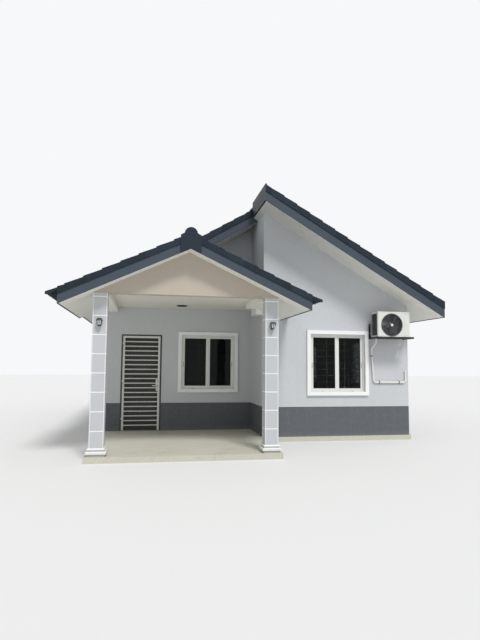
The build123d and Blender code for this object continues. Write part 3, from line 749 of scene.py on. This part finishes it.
def make_roofs():
    """Tiles, verges and ridge tiles of both roofs."""
    right_low, right_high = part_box("main_tiles_right")
    left_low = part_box("main_tiles_left")[0]
    past_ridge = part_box("bay_side_fascia")[1].x
    bay_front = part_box("bay_front_wall")[0].y
    front, middle, rear = right_low.y, left_low.y, right_high.y
    rear_verge = (rear, rear - VERGE_WIDTH)

    slope = Slope(0.0, right_high.x, right_low.z + MAIN_TILE_DEPTH, MAIN_PITCH, MAIN_TILE_DEPTH)
    mesh = lay_slope(slope, front, rear, [(front, front + VERGE_WIDTH), rear_verge])
    add_slab(mesh, slope, past_ridge, 0.0, front, middle, (-slope.depth, -TILE_STEP))
    place_roof("roof_tiles_right", "main_tiles_right", mesh)

    slope = Slope(0.0, left_low.x, left_low.z + MAIN_TILE_DEPTH, MAIN_PITCH, MAIN_TILE_DEPTH)
    mesh = lay_slope(slope, middle, rear, [(middle, middle + VERGE_WIDTH), rear_verge])
    place_roof("roof_tiles_left", "main_tiles_left", mesh)
    place_roof("ridge_tiles", "main_ridge_cap", lay_caps("main_ridge_cap", middle, rear))

    porch_low, porch_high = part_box("porch_tiles_right")
    front = porch_low.y

    def porch_slope(eave_x, y, cuts):
        """Tiles of a porch slope: whole, with a verge, up to a place along the ridge, and cut back behind it."""
        slope = Slope(porch_low.x, eave_x, porch_low.z + TILE_EDGE, PORCH_PITCH, PORCH_TILE_DEPTH, TILE_OVERHANG)
        mesh = lay_slope(slope, front, PORCH_BACK, [(front, front + VERGE_WIDTH)])
        clip(mesh, (0.0, y, 0.0), (0.0, 1.0, 0.0))
        behind = lay_slope(slope, front, PORCH_BACK, [])
        for point, normal in [((0.0, y, 0.0), (0.0, -1.0, 0.0)), *cuts]:
            clip(behind, point, normal)
        join(mesh, behind)
        return mesh

    bay_side = ((0.0, 0.0, 0.0), (1.0, 0.0, 0.0))
    ceiling = ((0.0, 0.0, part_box("porch_ceiling")[1].z), (0.0, 0.0, -1.0))
    main_soffit = ((0.0, 0.0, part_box("front_wall_right")[1].z), (-tan(radians(MAIN_PITCH)), 0.0, 1.0))
    mesh = porch_slope(porch_high.x, bay_front, [bay_side, ceiling])
    place_roof("porch_roof_tiles_right", "porch_tiles_right", mesh)
    mesh = porch_slope(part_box("porch_tiles_left")[0].x, middle, [main_soffit])
    place_roof("porch_roof_tiles_left", "porch_tiles_left", mesh)
    mesh = lay_caps("porch_ridge_cap", front, middle)
    under_eave = lay_caps("porch_ridge_cap", middle, PORCH_BACK)
    clip(under_eave, *main_soffit)
    join(mesh, under_eave)
    place_roof("porch_ridge_tiles", "porch_ridge_cap", mesh)


def window_places():
    """Middles of the windows on their walls' outer faces. Local Y runs inward."""
    places = []
    for node, turn in (("entrance_window_frames", 0), ("bay_window_frames", 0), ("left_window_frames", -90),
                       ("right_window_frames", 90), ("rear_window_frames", 180)):
        low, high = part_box(node)
        spin = Matrix.Rotation(radians(turn), 4, "Z")
        along, inward = spin @ Vector((1, 0, 0)), spin @ Vector((0, 1, 0))
        middle = (low + high) / 2
        reach = abs((high - low).dot(along)) / 2 - WINDOW_HALF
        deep = abs((high - low).dot(inward)) / 2 + FRAME_FRONT
        for step in ((-reach, reach) if reach > WINDOW_HALF else (0.0,)):
            places.append(Matrix.Translation(middle + along * step - inward * deep) @ spin)
    return places


def make_windows():
    """Surrounds, gaskets, tracks, pulls, latches and the bars behind the panes, with black boxes as painted shade in
    the pulls' grooves and the frames' drain slots.
    """
    surrounds, seals_and_slot_shade, trims, bars = (bmesh.new() for _ in range(4))
    soft_y = SURROUND_SOFT - SURROUND_PROUD
    surround = [(0.0, 0.0), (0.0, soft_y), (SURROUND_SOFT, -SURROUND_PROUD),
                (SURROUND_BAND - SURROUND_SOFT, -SURROUND_PROUD), (SURROUND_BAND, soft_y), (SURROUND_BAND, 0.0)]
    pull_rim = [(0.0, 0.0), (0.001, -0.003), (0.005, -0.003), (0.006, 0.0)]
    groove_x, groove_z = PULL_HALF_X - PULL_RIM, PULL_HALF_Z - PULL_RIM
    inner = WINDOW_HALF - FRAME_BAR
    meeting = SASH_FRONTS[0] + SASH_DEPTH
    bars_back = BARS_DEEP + BAR_RADIUS
    for place in window_places():
        add_moulding(surrounds, place, SURROUND_HALF, SURROUND_HALF, surround)
        for side, front in zip((-1, 1), SASH_FRONTS):
            pane = place @ Matrix.Translation((side * SASH_OFFSET, 0.0, 0.0))
            for y0 in (front + PANE_FRONT - GASKET_DEPTH, front + PANE_BACK):
                y1 = y0 + GASKET_DEPTH
                add_moulding(seals_and_slot_shade, pane, PANE_HALF_X, PANE_HALF_Z,
                             [(0.0, y0), (0.003, y0), (0.006, (y0 + y1) / 2), (0.006, y1), (0.0, y1)])
            stile = side * (SASH_OFFSET + PANE_HALF_X + SASH_STILE / 2)
            pull = place @ Matrix.Translation((stile, front, -PULL_DROP))
            add_moulding(trims, pull, PULL_HALF_X, PULL_HALF_Z, pull_rim)
            # A black box in each pull's groove is painted shade of its finger recess.
            add_box(seals_and_slot_shade, (-groove_x, -0.001, -groove_z), (groove_x, 0.0, groove_z), pull)
        for end in (-1, 1):
            low, high = sorted((end * inner, end * (inner - TRACK_HEIGHT)))
            for x0, x1, front in ((INTERLOCK, inner, SASH_FRONTS[0]), (-inner, -INTERLOCK, meeting)):
                add_box(trims, (x0, front + TRACK_FRONT, low), (x1, front + TRACK_BACK, high), place)
            # Black slots on the frame's foot are painted shade of its drain holes.
            add_box(seals_and_slot_shade, (end * DRAIN_AT - DRAIN_HALF, FRAME_FRONT - 0.0008, -inner - 0.016),
                    (end * DRAIN_AT + DRAIN_HALF, FRAME_FRONT, -inner - 0.010), place)
        latch = place @ Vector((SASH_STILE / 2, meeting + SASH_DEPTH, 0.0))
        inward = place.to_3x3() @ Vector((0, 1, 0))
        add_lathe(trims, latch, inward, [(0.0, 0.019), (0.004, 0.019), (0.006, 0.016), (0.012, 0.014), (0.014, 0.010)])
        for number in range(BAR_COUNT):
            z = (2 * (number + 0.5) / BAR_COUNT - 1) * WINDOW_HALF
            start, end = (place @ Vector((x, BARS_DEEP, z)) for x in (-WINDOW_HALF, WINDOW_HALF))
            add_rod(bars, start, end, BAR_RADIUS)
        for x in (-WINDOW_HALF / 3, WINDOW_HALF / 3):
            add_box(bars, (x - TIE_HALF, bars_back, -WINDOW_HALF),
                    (x + TIE_HALF, bars_back + TIE_SKIN, WINDOW_HALF), place)
    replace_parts(piece("surround_mouldings", surrounds, "surround_paint"), "window_surrounds")
    piece("glass_seals_and_slot_shade", seals_and_slot_shade, "black_steel")
    piece("window_fittings", trims, "white_aluminium", smooth=True)
    piece("window_bars", bars, "white_steel", smooth=True)


def make_door_details():
    """Raised mouldings and key plates on the leaf, and the grille's lock face with a black box in its keyway as
    painted shade.
    """
    lock_low, lock_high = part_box("grille_lock")
    leaf_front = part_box("door_leaf")[0].y
    middle = (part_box("grille")[0].x + LEAF_INSET + lock_high.x) / 2
    plate_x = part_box("door_handles")[1].x - LEVER_HALF
    mouldings, plates, face, slot = (bmesh.new() for _ in range(4))
    panel = [(0.0, 0.0), (0.003, -0.009), (0.012, -0.011), (0.020, -0.006), (0.028, -0.004), (0.032, 0.0)]
    field = [(0.0, 0.0), (0.018, -0.006), (0.022, -0.006), (0.022, 0.0)]
    for y, out, turn in ((leaf_front, -1, 0), (LEAF_BACK, 1, 180)):
        for z0, z1 in DOOR_PANELS:
            place = Matrix.Translation((middle, y, (z0 + z1) / 2)) @ Matrix.Rotation(radians(turn), 4, "Z")
            for inset, profile in ((0.0, panel), (FIELD_INSET, field)):
                add_moulding(mouldings, place, PANEL_HALF - inset, (z1 - z0) / 2 - inset, profile)
        low, high = sorted((y, y + out * PLATE_SKIN))
        add_box(plates, (plate_x - PLATE_HALF, low, PLATE_FOOT), (plate_x + PLATE_HALF, high, PLATE_TOP))
        add_lathe(plates, (plate_x, y + out * PLATE_SKIN, KEYHOLE_Z), (0, out, 0),
                  [(0.0, 0.011), (0.003, 0.011), (0.004, 0.009)])
    piece("door_mouldings", mouldings, "dark_door", "door")
    piece("lever_plates", plates, "handle_metal", "door", bevel=0.0015)

    x, y, z = (lock_low.x + lock_high.x) / 2, lock_low.y, (lock_low.z + lock_high.z) / 2
    add_lathe(face, (x, y, z + 0.012), FRONTWARD,
              [(0.0, 0.021), (0.002, 0.021), (0.004, 0.018), (0.004, 0.0135), (0.010, 0.0125), (0.011, 0.010)])
    for side, end in CORNERS:
        add_lathe(face, (x + side * LOCK_SCREW_X, y, z + end * LOCK_SCREW_Z), FRONTWARD,
                  [(0.0, 0.005), (0.0015, 0.0045), (0.0025, 0.003)], 16)
    piece("lock_face", face, "handle_metal", "front_grille", smooth=True)
    # A thin black box in the keyway is painted shade of the slot.
    add_box(slot, (x - 0.0012, y - 0.0114, z + 0.006), (x + 0.0012, y - 0.010, z + 0.018))
    piece("lock_keyway_shade", slot, "black_steel", "front_grille")


def blade_section(radius, share, centre, turn):
    """Ring of points across a fan blade at a radius, share being 0 at the hub and 1 at the tip."""
    chord = 0.060 + 0.150 * share ** 0.8
    chord *= 1.0 - 0.30 * max(0.0, share - 0.8) / 0.2
    pitch = radians(BLADE_PITCH - BLADE_TWIST * share)
    front, back = [], []
    for number in range(BLADE_STEPS + 1):
        along = number / BLADE_STEPS - 0.5
        camber = BLADE_CAMBER * (0.25 - along * along) * 4
        thick = 0.0030 * (1 - (2 * along) ** 4) + 0.0006
        swept = turn + BLADE_SWEEP * share + along * chord * cos(pitch) / radius
        deep = along * chord * sin(pitch)
        for side, offset in ((front, camber + thick / 2), (back, camber - thick / 2)):
            side.append(centre + Vector((radius * cos(swept), -deep - offset, radius * sin(swept))))
    return front + back[::-1]


def make_fan(centre, hub_low, hub_high):
    """Fan with three cambered, swept blades on a domed hub."""
    mesh = bmesh.new()
    add_lathe(mesh, (centre.x, hub_low, centre.z), (0, 1, 0),
              [(0.0, 0.016), (0.003, 0.027), (0.009, 0.035), (0.014, 0.038), (hub_high - hub_low, 0.038)], 40)
    middle = Vector((centre.x, (hub_low + hub_high) / 2, centre.z))
    for number in range(FAN_BLADES):
        turn = 2 * pi * number / FAN_BLADES + 0.5
        shares = [step / BLADE_RINGS for step in range(BLADE_RINGS + 1)]
        add_rings(mesh, [blade_section(FAN_ROOT + (FAN_RADIUS - FAN_ROOT) * share, share, middle, turn)
                         for share in shares])
    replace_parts(piece("fan_blades", mesh, "fan_plastic", "unit_fan", smooth=True), "ac_fan")


def make_guard():
    """Fan guard: a rim, rings of thin wire, spokes and a plain disc."""
    low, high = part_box("ac_fan_guard")
    centre = (low + high) / 2
    wires, cap = bmesh.new(), bmesh.new()
    add_torus(wires, centre, (0, 1, 0), GUARD_RADIUS + GUARD_RIM, 0.003, 64, 8)
    for radius in spread(GUARD_DISC, GUARD_RADIUS, GUARD_RINGS + 1)[1:-1]:
        add_torus(wires, centre, (0, 1, 0), radius, GUARD_WIRE, 56, 6)
    behind = centre + Vector((0.0, GUARD_WIRE, 0.0))
    for number in range(GUARD_SPOKES):
        turn = 2 * pi * (number + 0.5) / GUARD_SPOKES
        out = Vector((cos(turn), 0.0, sin(turn)))
        add_rod(wires, behind + out * (GUARD_DISC - 0.004), behind + out * (GUARD_RADIUS + GUARD_RIM), 0.0019, 8)
    add_lathe(wires, centre + Vector((0.0, 0.003, 0.0)), FRONTWARD, [(0.0, GUARD_DISC), (0.003, GUARD_DISC)], 40)
    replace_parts(piece("fan_guard_wires", wires, "unit_guard", smooth=True), "ac_fan_guard")
    add_lathe(cap, centre, FRONTWARD, [(0.0, 0.028), (0.002, 0.028), (0.003, 0.025)], 40)
    piece("fan_guard_disc", cap, "unit_casing", smooth=True)
    return centre


def line_well(casing_low, centre):
    """Dark sleeve inside the fan's opening, and a dark back plate behind the fan as painted shade of the unit's
    inside.
    """
    mesh = bmesh.new()
    front, back = casing_low.y + 0.004, casing_low.y + WELL_DEPTH
    outer = GUARD_RADIUS - 0.0004
    inner, plate = outer - WELL_SKIN, outer - 0.0004
    add_rings(mesh, [ring_points((centre.x, y, centre.z), (0, 1, 0), radius, 64)
                     for y, radius in ((front, outer), (back, outer), (back, inner), (front, inner))], loop=True)
    # The dark back plate is painted shade of the unit's inside behind the fan.
    add_lathe(mesh, (centre.x, back - 0.0004, centre.z), FRONTWARD, [(0.0, plate), (WELL_SKIN, plate)], 64)
    piece("fan_well_lining_and_shade", mesh, "fan_plastic", smooth=True)


def rounded_plan(x0, x1, y0, y1, radius, z):
    """Outline of a level rectangle with round corners."""
    right, left, rear, front = x1 - radius, x0 + radius, y1 - radius, y0 + radius
    return [Vector((x + radius * cos(turn), y + radius * sin(turn), z))
            for number, (x, y) in enumerate(((right, rear), (left, rear), (left, front), (right, front)))
            for turn in spread(number * pi / 2, (number + 1) * pi / 2, 7)]


def fins(start, end):
    """Places of a coil's fins."""
    return [start + (number + 0.5) * FIN_PITCH for number in range(int((end - start) / FIN_PITCH))]


def make_unit():
    """Lid, seams, service cover, coil, guard, fan and bolts of the outdoor unit."""
    low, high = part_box("ac_casing")
    centre = make_guard()
    make_fan(centre, low.y + HUB_FRONT, low.y + HUB_BACK)
    line_well(low, centre)
    cover, seams, coil, wires, bolts = (bmesh.new() for _ in range(5))

    lid_low = high.z - LID_HEIGHT
    plans = ((LID_LIP, lid_low, UNIT_CORNER), (LID_LIP, high.z, UNIT_CORNER),
             (LID_LIP - LID_CROWN, high.z + LID_CROWN, UNIT_CORNER - 0.003))
    add_rings(cover, [rounded_plan(low.x - out, high.x + out, low.y - out, high.y + out, corner, z)
                      for out, z, corner in plans])
    middle = (low + high) / 2
    side = Matrix.Translation((high.x, middle.y, middle.z)) @ Matrix.Rotation(pi / 2, 4, "Z")
    add_box(cover, (-0.115, -0.010, -0.200), (0.115, 0.0, 0.140), side)
    add_box(cover, (-0.060, -0.016, -0.170), (0.060, -0.010, -0.080), side)
    piece("unit_lid_and_cover", cover, "unit_casing", bevel=0.002)

    seam_x, seam_y, seam_z = centre.x + 0.29, low.y - SEAM_PROUD, low.z + 0.022
    add_box(seams, (seam_x, seam_y, low.z + 0.004), (seam_x + SEAM_WIDTH, low.y, lid_low))
    add_box(seams, (low.x + UNIT_CORNER, seam_y, seam_z), (high.x - UNIT_CORNER, low.y, seam_z + SEAM_WIDTH))
    upper, lower, right = lid_low - 0.015, low.z + 0.011, high.x - SCREW_INSET
    for x, z in ((seam_x + 0.02, upper), (right, upper), (seam_x + 0.02, lower), (right, lower),
                 (low.x + SCREW_INSET, lower)):
        add_lathe(seams, (x, low.y, z), FRONTWARD, [(0.0, 0.004), (0.001, 0.004), (0.0018, 0.0025)], 12)
    piece("unit_seams", seams, "black_steel", smooth=True)

    y0, y1, z0, z1 = low.y + 0.045, high.y - 0.025, low.z + 0.030, lid_low - 0.015
    x0, x1 = low.x + 0.03, high.x - 0.17
    side_x, back_y = low.x - FIN_HALF, high.y + FIN_HALF
    add_box(coil, (side_x, y0, z0), (low.x, y1, z1))
    for y in fins(y0, y1):
        add_box(coil, (low.x - FIN_DEPTH, y - FIN_HALF, z0), (side_x, y + FIN_HALF, z1))
    add_box(coil, (x0, high.y, z0), (x1, back_y, z1))
    for x in fins(x0, x1):
        add_box(coil, (x - FIN_HALF, back_y, z0), (x + FIN_HALF, high.y + FIN_DEPTH, z1))
    piece("unit_coil", coil, "fan_plastic")

    side_x, back_y, past = low.x - COIL_WIRE_OUT, high.y + COIL_WIRE_OUT, COIL_WIRE_PAST
    runs = [((x, y, z), (far_x, far_y, z)) for z in spread(z0, z1, 12) for x, y, far_x, far_y in (
        (side_x, y0 - past, side_x, y1 + past), (x0 - past, back_y, x1 + past, back_y))]
    stands = [(side_x, y) for y in spread(y0, y1, 6)] + [(x, back_y) for x in spread(x0, x1, 12)]
    runs += [((x, y, z0 - past), (x, y, z1 + past)) for x, y in stands]
    for start, end in runs:
        add_rod(wires, start, end, COIL_WIRE, 6)
    piece("coil_guard", wires, "unit_guard", smooth=True)

    bracket_low, bracket_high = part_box("ac_brackets")
    for x in (bracket_low.x + 0.020, bracket_high.x - 0.020):
        for z in (bracket_high.z - 0.04, bracket_high.z - 0.20):
            add_lathe(bolts, (x, bracket_high.y - 0.010, z), FRONTWARD,
                      [(0.0, 0.012), (0.002, 0.012), (0.0021, 0.009), (0.008, 0.009)], 6)
    piece("bracket_bolts", bolts, "handle_metal")


def make_pipe():
    """Smooth pipe with its elbow into the wall, sleeves at its ends and clips on the wall."""
    mesh, clips = bmesh.new(), bmesh.new()
    start, end = Vector(PIPE_POINTS[0]), Vector(PIPE_POINTS[-1])
    add_tube(mesh, bent_path(PIPE_POINTS, PIPE_BEND), PIPE_RADIUS, 24)
    bmesh.ops.create_uvsphere(mesh, u_segments=24, v_segments=12, radius=PIPE_ELBOW_RADIUS,
                              matrix=Matrix.Translation(end))
    add_rod(mesh, end, end + Vector((0.0, PIPE_ELBOW_RADIUS, 0.0)), PIPE_RADIUS, 24)
    add_lathe(mesh, start, -UP, [(0.0, 0.025), (0.030, 0.025), (0.033, 0.021)], 24)
    for corner, ways in ((PIPE_POINTS[3], (UP, RIGHT)), (PIPE_POINTS[4], (UP, -RIGHT))):
        for way in ways:
            add_lathe(mesh, Vector(corner) + way * PIPE_SLEEVE_AT, way,
                      [(0.0, 0.0225), (0.026, 0.0225), (0.027, 0.0205)], 24)
    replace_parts(piece("drain_pipe", mesh, "white_plastic", smooth=True), "ac_pipe")
    for places, way, other in ((PIPE_CLIPS_UPRIGHT, UP, RIGHT), (PIPE_CLIPS_LEVEL, RIGHT, UP)):
        ear_half = way * CLIP_HALF + other * CLIP_EAR_HALF
        for place in places:
            add_lathe(clips, Vector(place) - way * CLIP_HALF, way,
                      [(0.0, 0.0225), (0.001, 0.0235), (0.017, 0.0235), (0.018, 0.0225)], 24)
            for step in (-1, 1):
                ear = Vector(place) + other * step * CLIP_EAR_AT
                add_box(clips, ear - ear_half + Vector((0, 0.0205, 0)), ear + ear_half + Vector((0, 0.0238, 0)))
    piece("pipe_clips", clips, "black_steel", smooth=True)


def square(x, y, z, half):
    """Corners of a level square."""
    return [Vector((x + side * half, y + end * half, z)) for side, end in CORNERS]


def stack(mesh, levels):
    """Square solid through levels, each a middle and a half width."""
    add_rings(mesh, [square(*middle, half) for middle, half in levels])


def make_lanterns():
    """Lanterns on the columns: cast back plates, hipped caps, tapered glass bodies with bars, and a bulb."""
    low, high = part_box("column_lamps")
    metal, glass, bulbs = bmesh.new(), bmesh.new(), bmesh.new()
    wall, top = high.y, high.z
    y = wall - LANTERN_PLATE - LANTERN_STANDOFF - LANTERN_CAP_HALF
    cap_z, body_z = top - LANTERN_CAP_HEIGHT, top - LANTERN_FOOT
    wide, narrow = LANTERN_WIDE, LANTERN_NARROW
    bar_ends = ((body_z, narrow - LANTERN_BAR_INSET), (cap_z, wide - LANTERN_BAR_INSET))
    pane_ends = [(body_z + 0.003, narrow + 0.0006)] * 2 + [(cap_z, wide)] * 2
    cap = ((cap_z, LANTERN_CAP_HALF), (cap_z + 0.006, LANTERN_CAP_HALF), (cap_z + 0.016, 0.046),
           (top - 0.006, 0.034), (top - 0.005, 0.036), (top, 0.033))
    foot = ((body_z - 0.014, 0.003), (body_z - 0.008, 0.008), (body_z - 0.004, 0.011),
            (body_z - 0.003, narrow + 0.001), (body_z + 0.003, narrow + 0.001))
    bulb = [(0.0, 0.010), (0.014, 0.010), (0.016, 0.008), (0.028, 0.012), (0.040, 0.011), (0.052, 0.006),
            (0.058, 0.0015)]
    for x in (low.x + LANTERN_CAP_HALF, high.x - LANTERN_CAP_HALF):
        add_box(metal, (x - 0.025, wall - LANTERN_PLATE, low.z), (x + 0.025, wall, top))
        add_box(metal, (x - 0.010, y, cap_z + 0.004), (x + 0.010, wall - 0.004, cap_z + 0.020))
        for levels in (cap, foot):
            stack(metal, [((x, y, z), half) for z, half in levels])
        for corner in range(4):
            stack(metal, [(square(x, y, z, half)[corner], 0.0035) for z, half in bar_ends])
        for way in (RIGHT, -RIGHT, Vector((0, 1, 0)), Vector((0, -1, 0))):
            stack(metal, [(Vector((x, y, z)) + way * half, 0.0032) for z, half in bar_ends])
            across = way.cross(UP)
            pane = [Vector((x, y, z)) + way * (half - 0.0052) + across * reach * (half - 0.006)
                    for (z, half), reach in zip(pane_ends, (-1, 1, 1, -1))]
            add_rings(glass, [pane, [point - way * 0.002 for point in pane]])
        add_lathe(bulbs, (x, y, body_z + 0.003), UP, bulb, 20)
    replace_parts(piece("lantern_frames", metal, "black_steel", bevel=0.0006, segments=1), "column_lamps")
    piece("lantern_glass", glass, "lamp_cover")
    piece("lantern_bulbs", bulbs, "lamp_cover", smooth=True)


def make_ceiling_lamp():
    """Round ceiling lamp: a pale stepped ring round a shallow dome of dark glass over a dark plate."""
    low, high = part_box("porch_ceiling_lamp")
    ring, plate, dome = bmesh.new(), bmesh.new(), bmesh.new()
    top, foot = (*CEILING_LAMP, high.z), (*CEILING_LAMP, high.z - LAMP_FOOT)
    add_lathe(ring, top, -UP, [(0.0, 0.152), (0.003, 0.160), (0.009, 0.160), (0.013, 0.154), (LAMP_FOOT, 0.128)], 64)
    add_lathe(plate, foot, -UP, [(0.0, LAMP_RADIUS), (0.003, LAMP_RADIUS)], 64)
    drop = high.z - low.z - LAMP_FOOT
    add_lathe(dome, top, -UP, [(LAMP_FOOT + drop * sin(turn), 0.002 + LAMP_RADIUS * cos(turn) ** 0.7)
                               for turn in spread(0.0, pi / 2, LAMP_STEPS + 1)], 64)
    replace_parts(piece("ceiling_lamp_ring", ring, "white_plastic", smooth=True), "porch_ceiling_lamp")
    piece("ceiling_lamp_plate", plate, "black_steel", smooth=True)
    piece("ceiling_lamp_dome", dome, "tinted_glass", smooth=True)


def make_apex_plate():
    """Plate over the joint of the porch's rake fascias, with mortared shoulders up to the ridge tile."""
    low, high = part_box("porch_apex_plate")
    cap_low, cap_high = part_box("porch_ridge_cap")
    middle, half = (low.x + high.x) / 2, (high.x - low.x) / 2
    rise = tan(radians(PORCH_PITCH))
    shoulder = high.z - half * rise + SHOULDER_LIFT
    beside_cap = (cap_high.x - cap_low.x) / 2
    upper = shoulder + (half - beside_cap) * SHOULDER_SLOPE
    outline = [(-half, low.z), (0.0, low.z + half * rise), (half, low.z), (half, shoulder), (beside_cap, upper),
               (beside_cap * 0.8, high.z), (-beside_cap * 0.8, high.z), (-beside_cap, upper), (-half, shoulder)]
    mesh = bmesh.new()
    add_rings(mesh, [[Vector((middle + x, y, z)) for x, z in outline] for y in (low.y, high.y)])
    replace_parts(piece("apex_plate", mesh, "dark_trim", bevel=0.0015), "porch_apex_plate")


def make_trims():
    """Small bead along the pediment's foot."""
    low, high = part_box("porch_pediment")
    bead = bmesh.new()
    section = [(0.0, 0.0), (-0.006, 0.0), (-0.008, 0.004), (-0.008, 0.014), (-0.003, 0.019), (0.0, 0.019)]
    add_rings(bead, [[Vector((x, low.y + y, low.z + z)) for y, z in section] for x in (low.x, high.x)])
    piece("pediment_bead", bead, "wall_paint")


def make_camera():
    """Camera at the photograph's place and angle."""
    yaw, pitch, roll = (radians(value) for value in (CAMERA_YAW, CAMERA_PITCH, CAMERA_ROLL))
    level = Vector((sin(yaw), cos(yaw), 0.0))
    right = Vector((cos(yaw), -sin(yaw), 0.0))
    forward = level * cos(pitch) + UP * sin(pitch)
    up = UP * cos(pitch) - level * sin(pitch)
    side = right * cos(roll) + up * sin(roll)
    top = up * cos(roll) - right * sin(roll)
    turn = Matrix((side, top, -forward)).transposed()
    data = bpy.data.cameras.new("camera")
    data.lens = CAMERA_LENS
    data.sensor_width = 36.0
    data.clip_end = 200.0
    camera = show("camera", data)
    camera.matrix_world = Matrix.Translation(CAMERA_AT) @ turn.to_4x4()
    bpy.context.scene.camera = camera


def seen_white(tree, shaded, white):
    """Mixes two shaders: white for what the camera, glass and gloss see, shaded for what lights the object."""
    path = tree.nodes.new("ShaderNodeLightPath").outputs
    seen = path["Is Camera Ray"]
    for name in ("Is Glossy Ray", "Is Transmission Ray"):
        seen = add_node(tree, "ShaderNodeMath", {0: seen, 1: path[name]}, operation="MAXIMUM").outputs[0]
    return add_node(tree, "ShaderNodeMixShader", {0: seen, 1: shaded, 2: white}).outputs[0]


def make_studio():
    """Pale floor, pale surroundings and soft light."""
    bpy.context.scene.view_settings.view_transform = "Standard"
    world = bpy.data.worlds.new("studio")
    world.use_nodes = True
    bpy.context.scene.world = world
    tree = world.node_tree
    soft = tree.nodes["Background"]
    put(soft.inputs["Color"], (0.96, 0.98, 1.0, 1.0))
    put(soft.inputs["Strength"], 0.62)
    seen = add_node(tree, "ShaderNodeBackground", {"Color": (0.93, 0.94, 0.95, 1.0), "Strength": 1.0})
    put(tree.nodes["World Output"].inputs["Surface"], seen_white(tree, soft.outputs[0], seen.outputs[0]))

    data = bpy.data.lights.new("key", "SUN")
    data.energy = 2.1
    data.angle = radians(14)
    show("key", data).rotation_euler = (radians(38), 0.0, radians(14))

    mesh = bmesh.new()
    mesh.faces.new([mesh.verts.new((side * FLOOR_REACH, end * FLOOR_REACH, 0.0)) for side, end in CORNERS])
    floor = show("floor", as_data("floor", mesh))
    finish = Finish("floor", 0.9)
    finish.set("Base Color", srgb(226, 226, 224))
    floor.data.materials.append(finish.material)


finish_nodes()
make_roofs()
make_windows()
make_door_details()
make_unit()
make_pipe()
make_lanterns()
make_ceiling_lamp()
make_apex_plate()
make_trims()
make_camera()
make_studio()
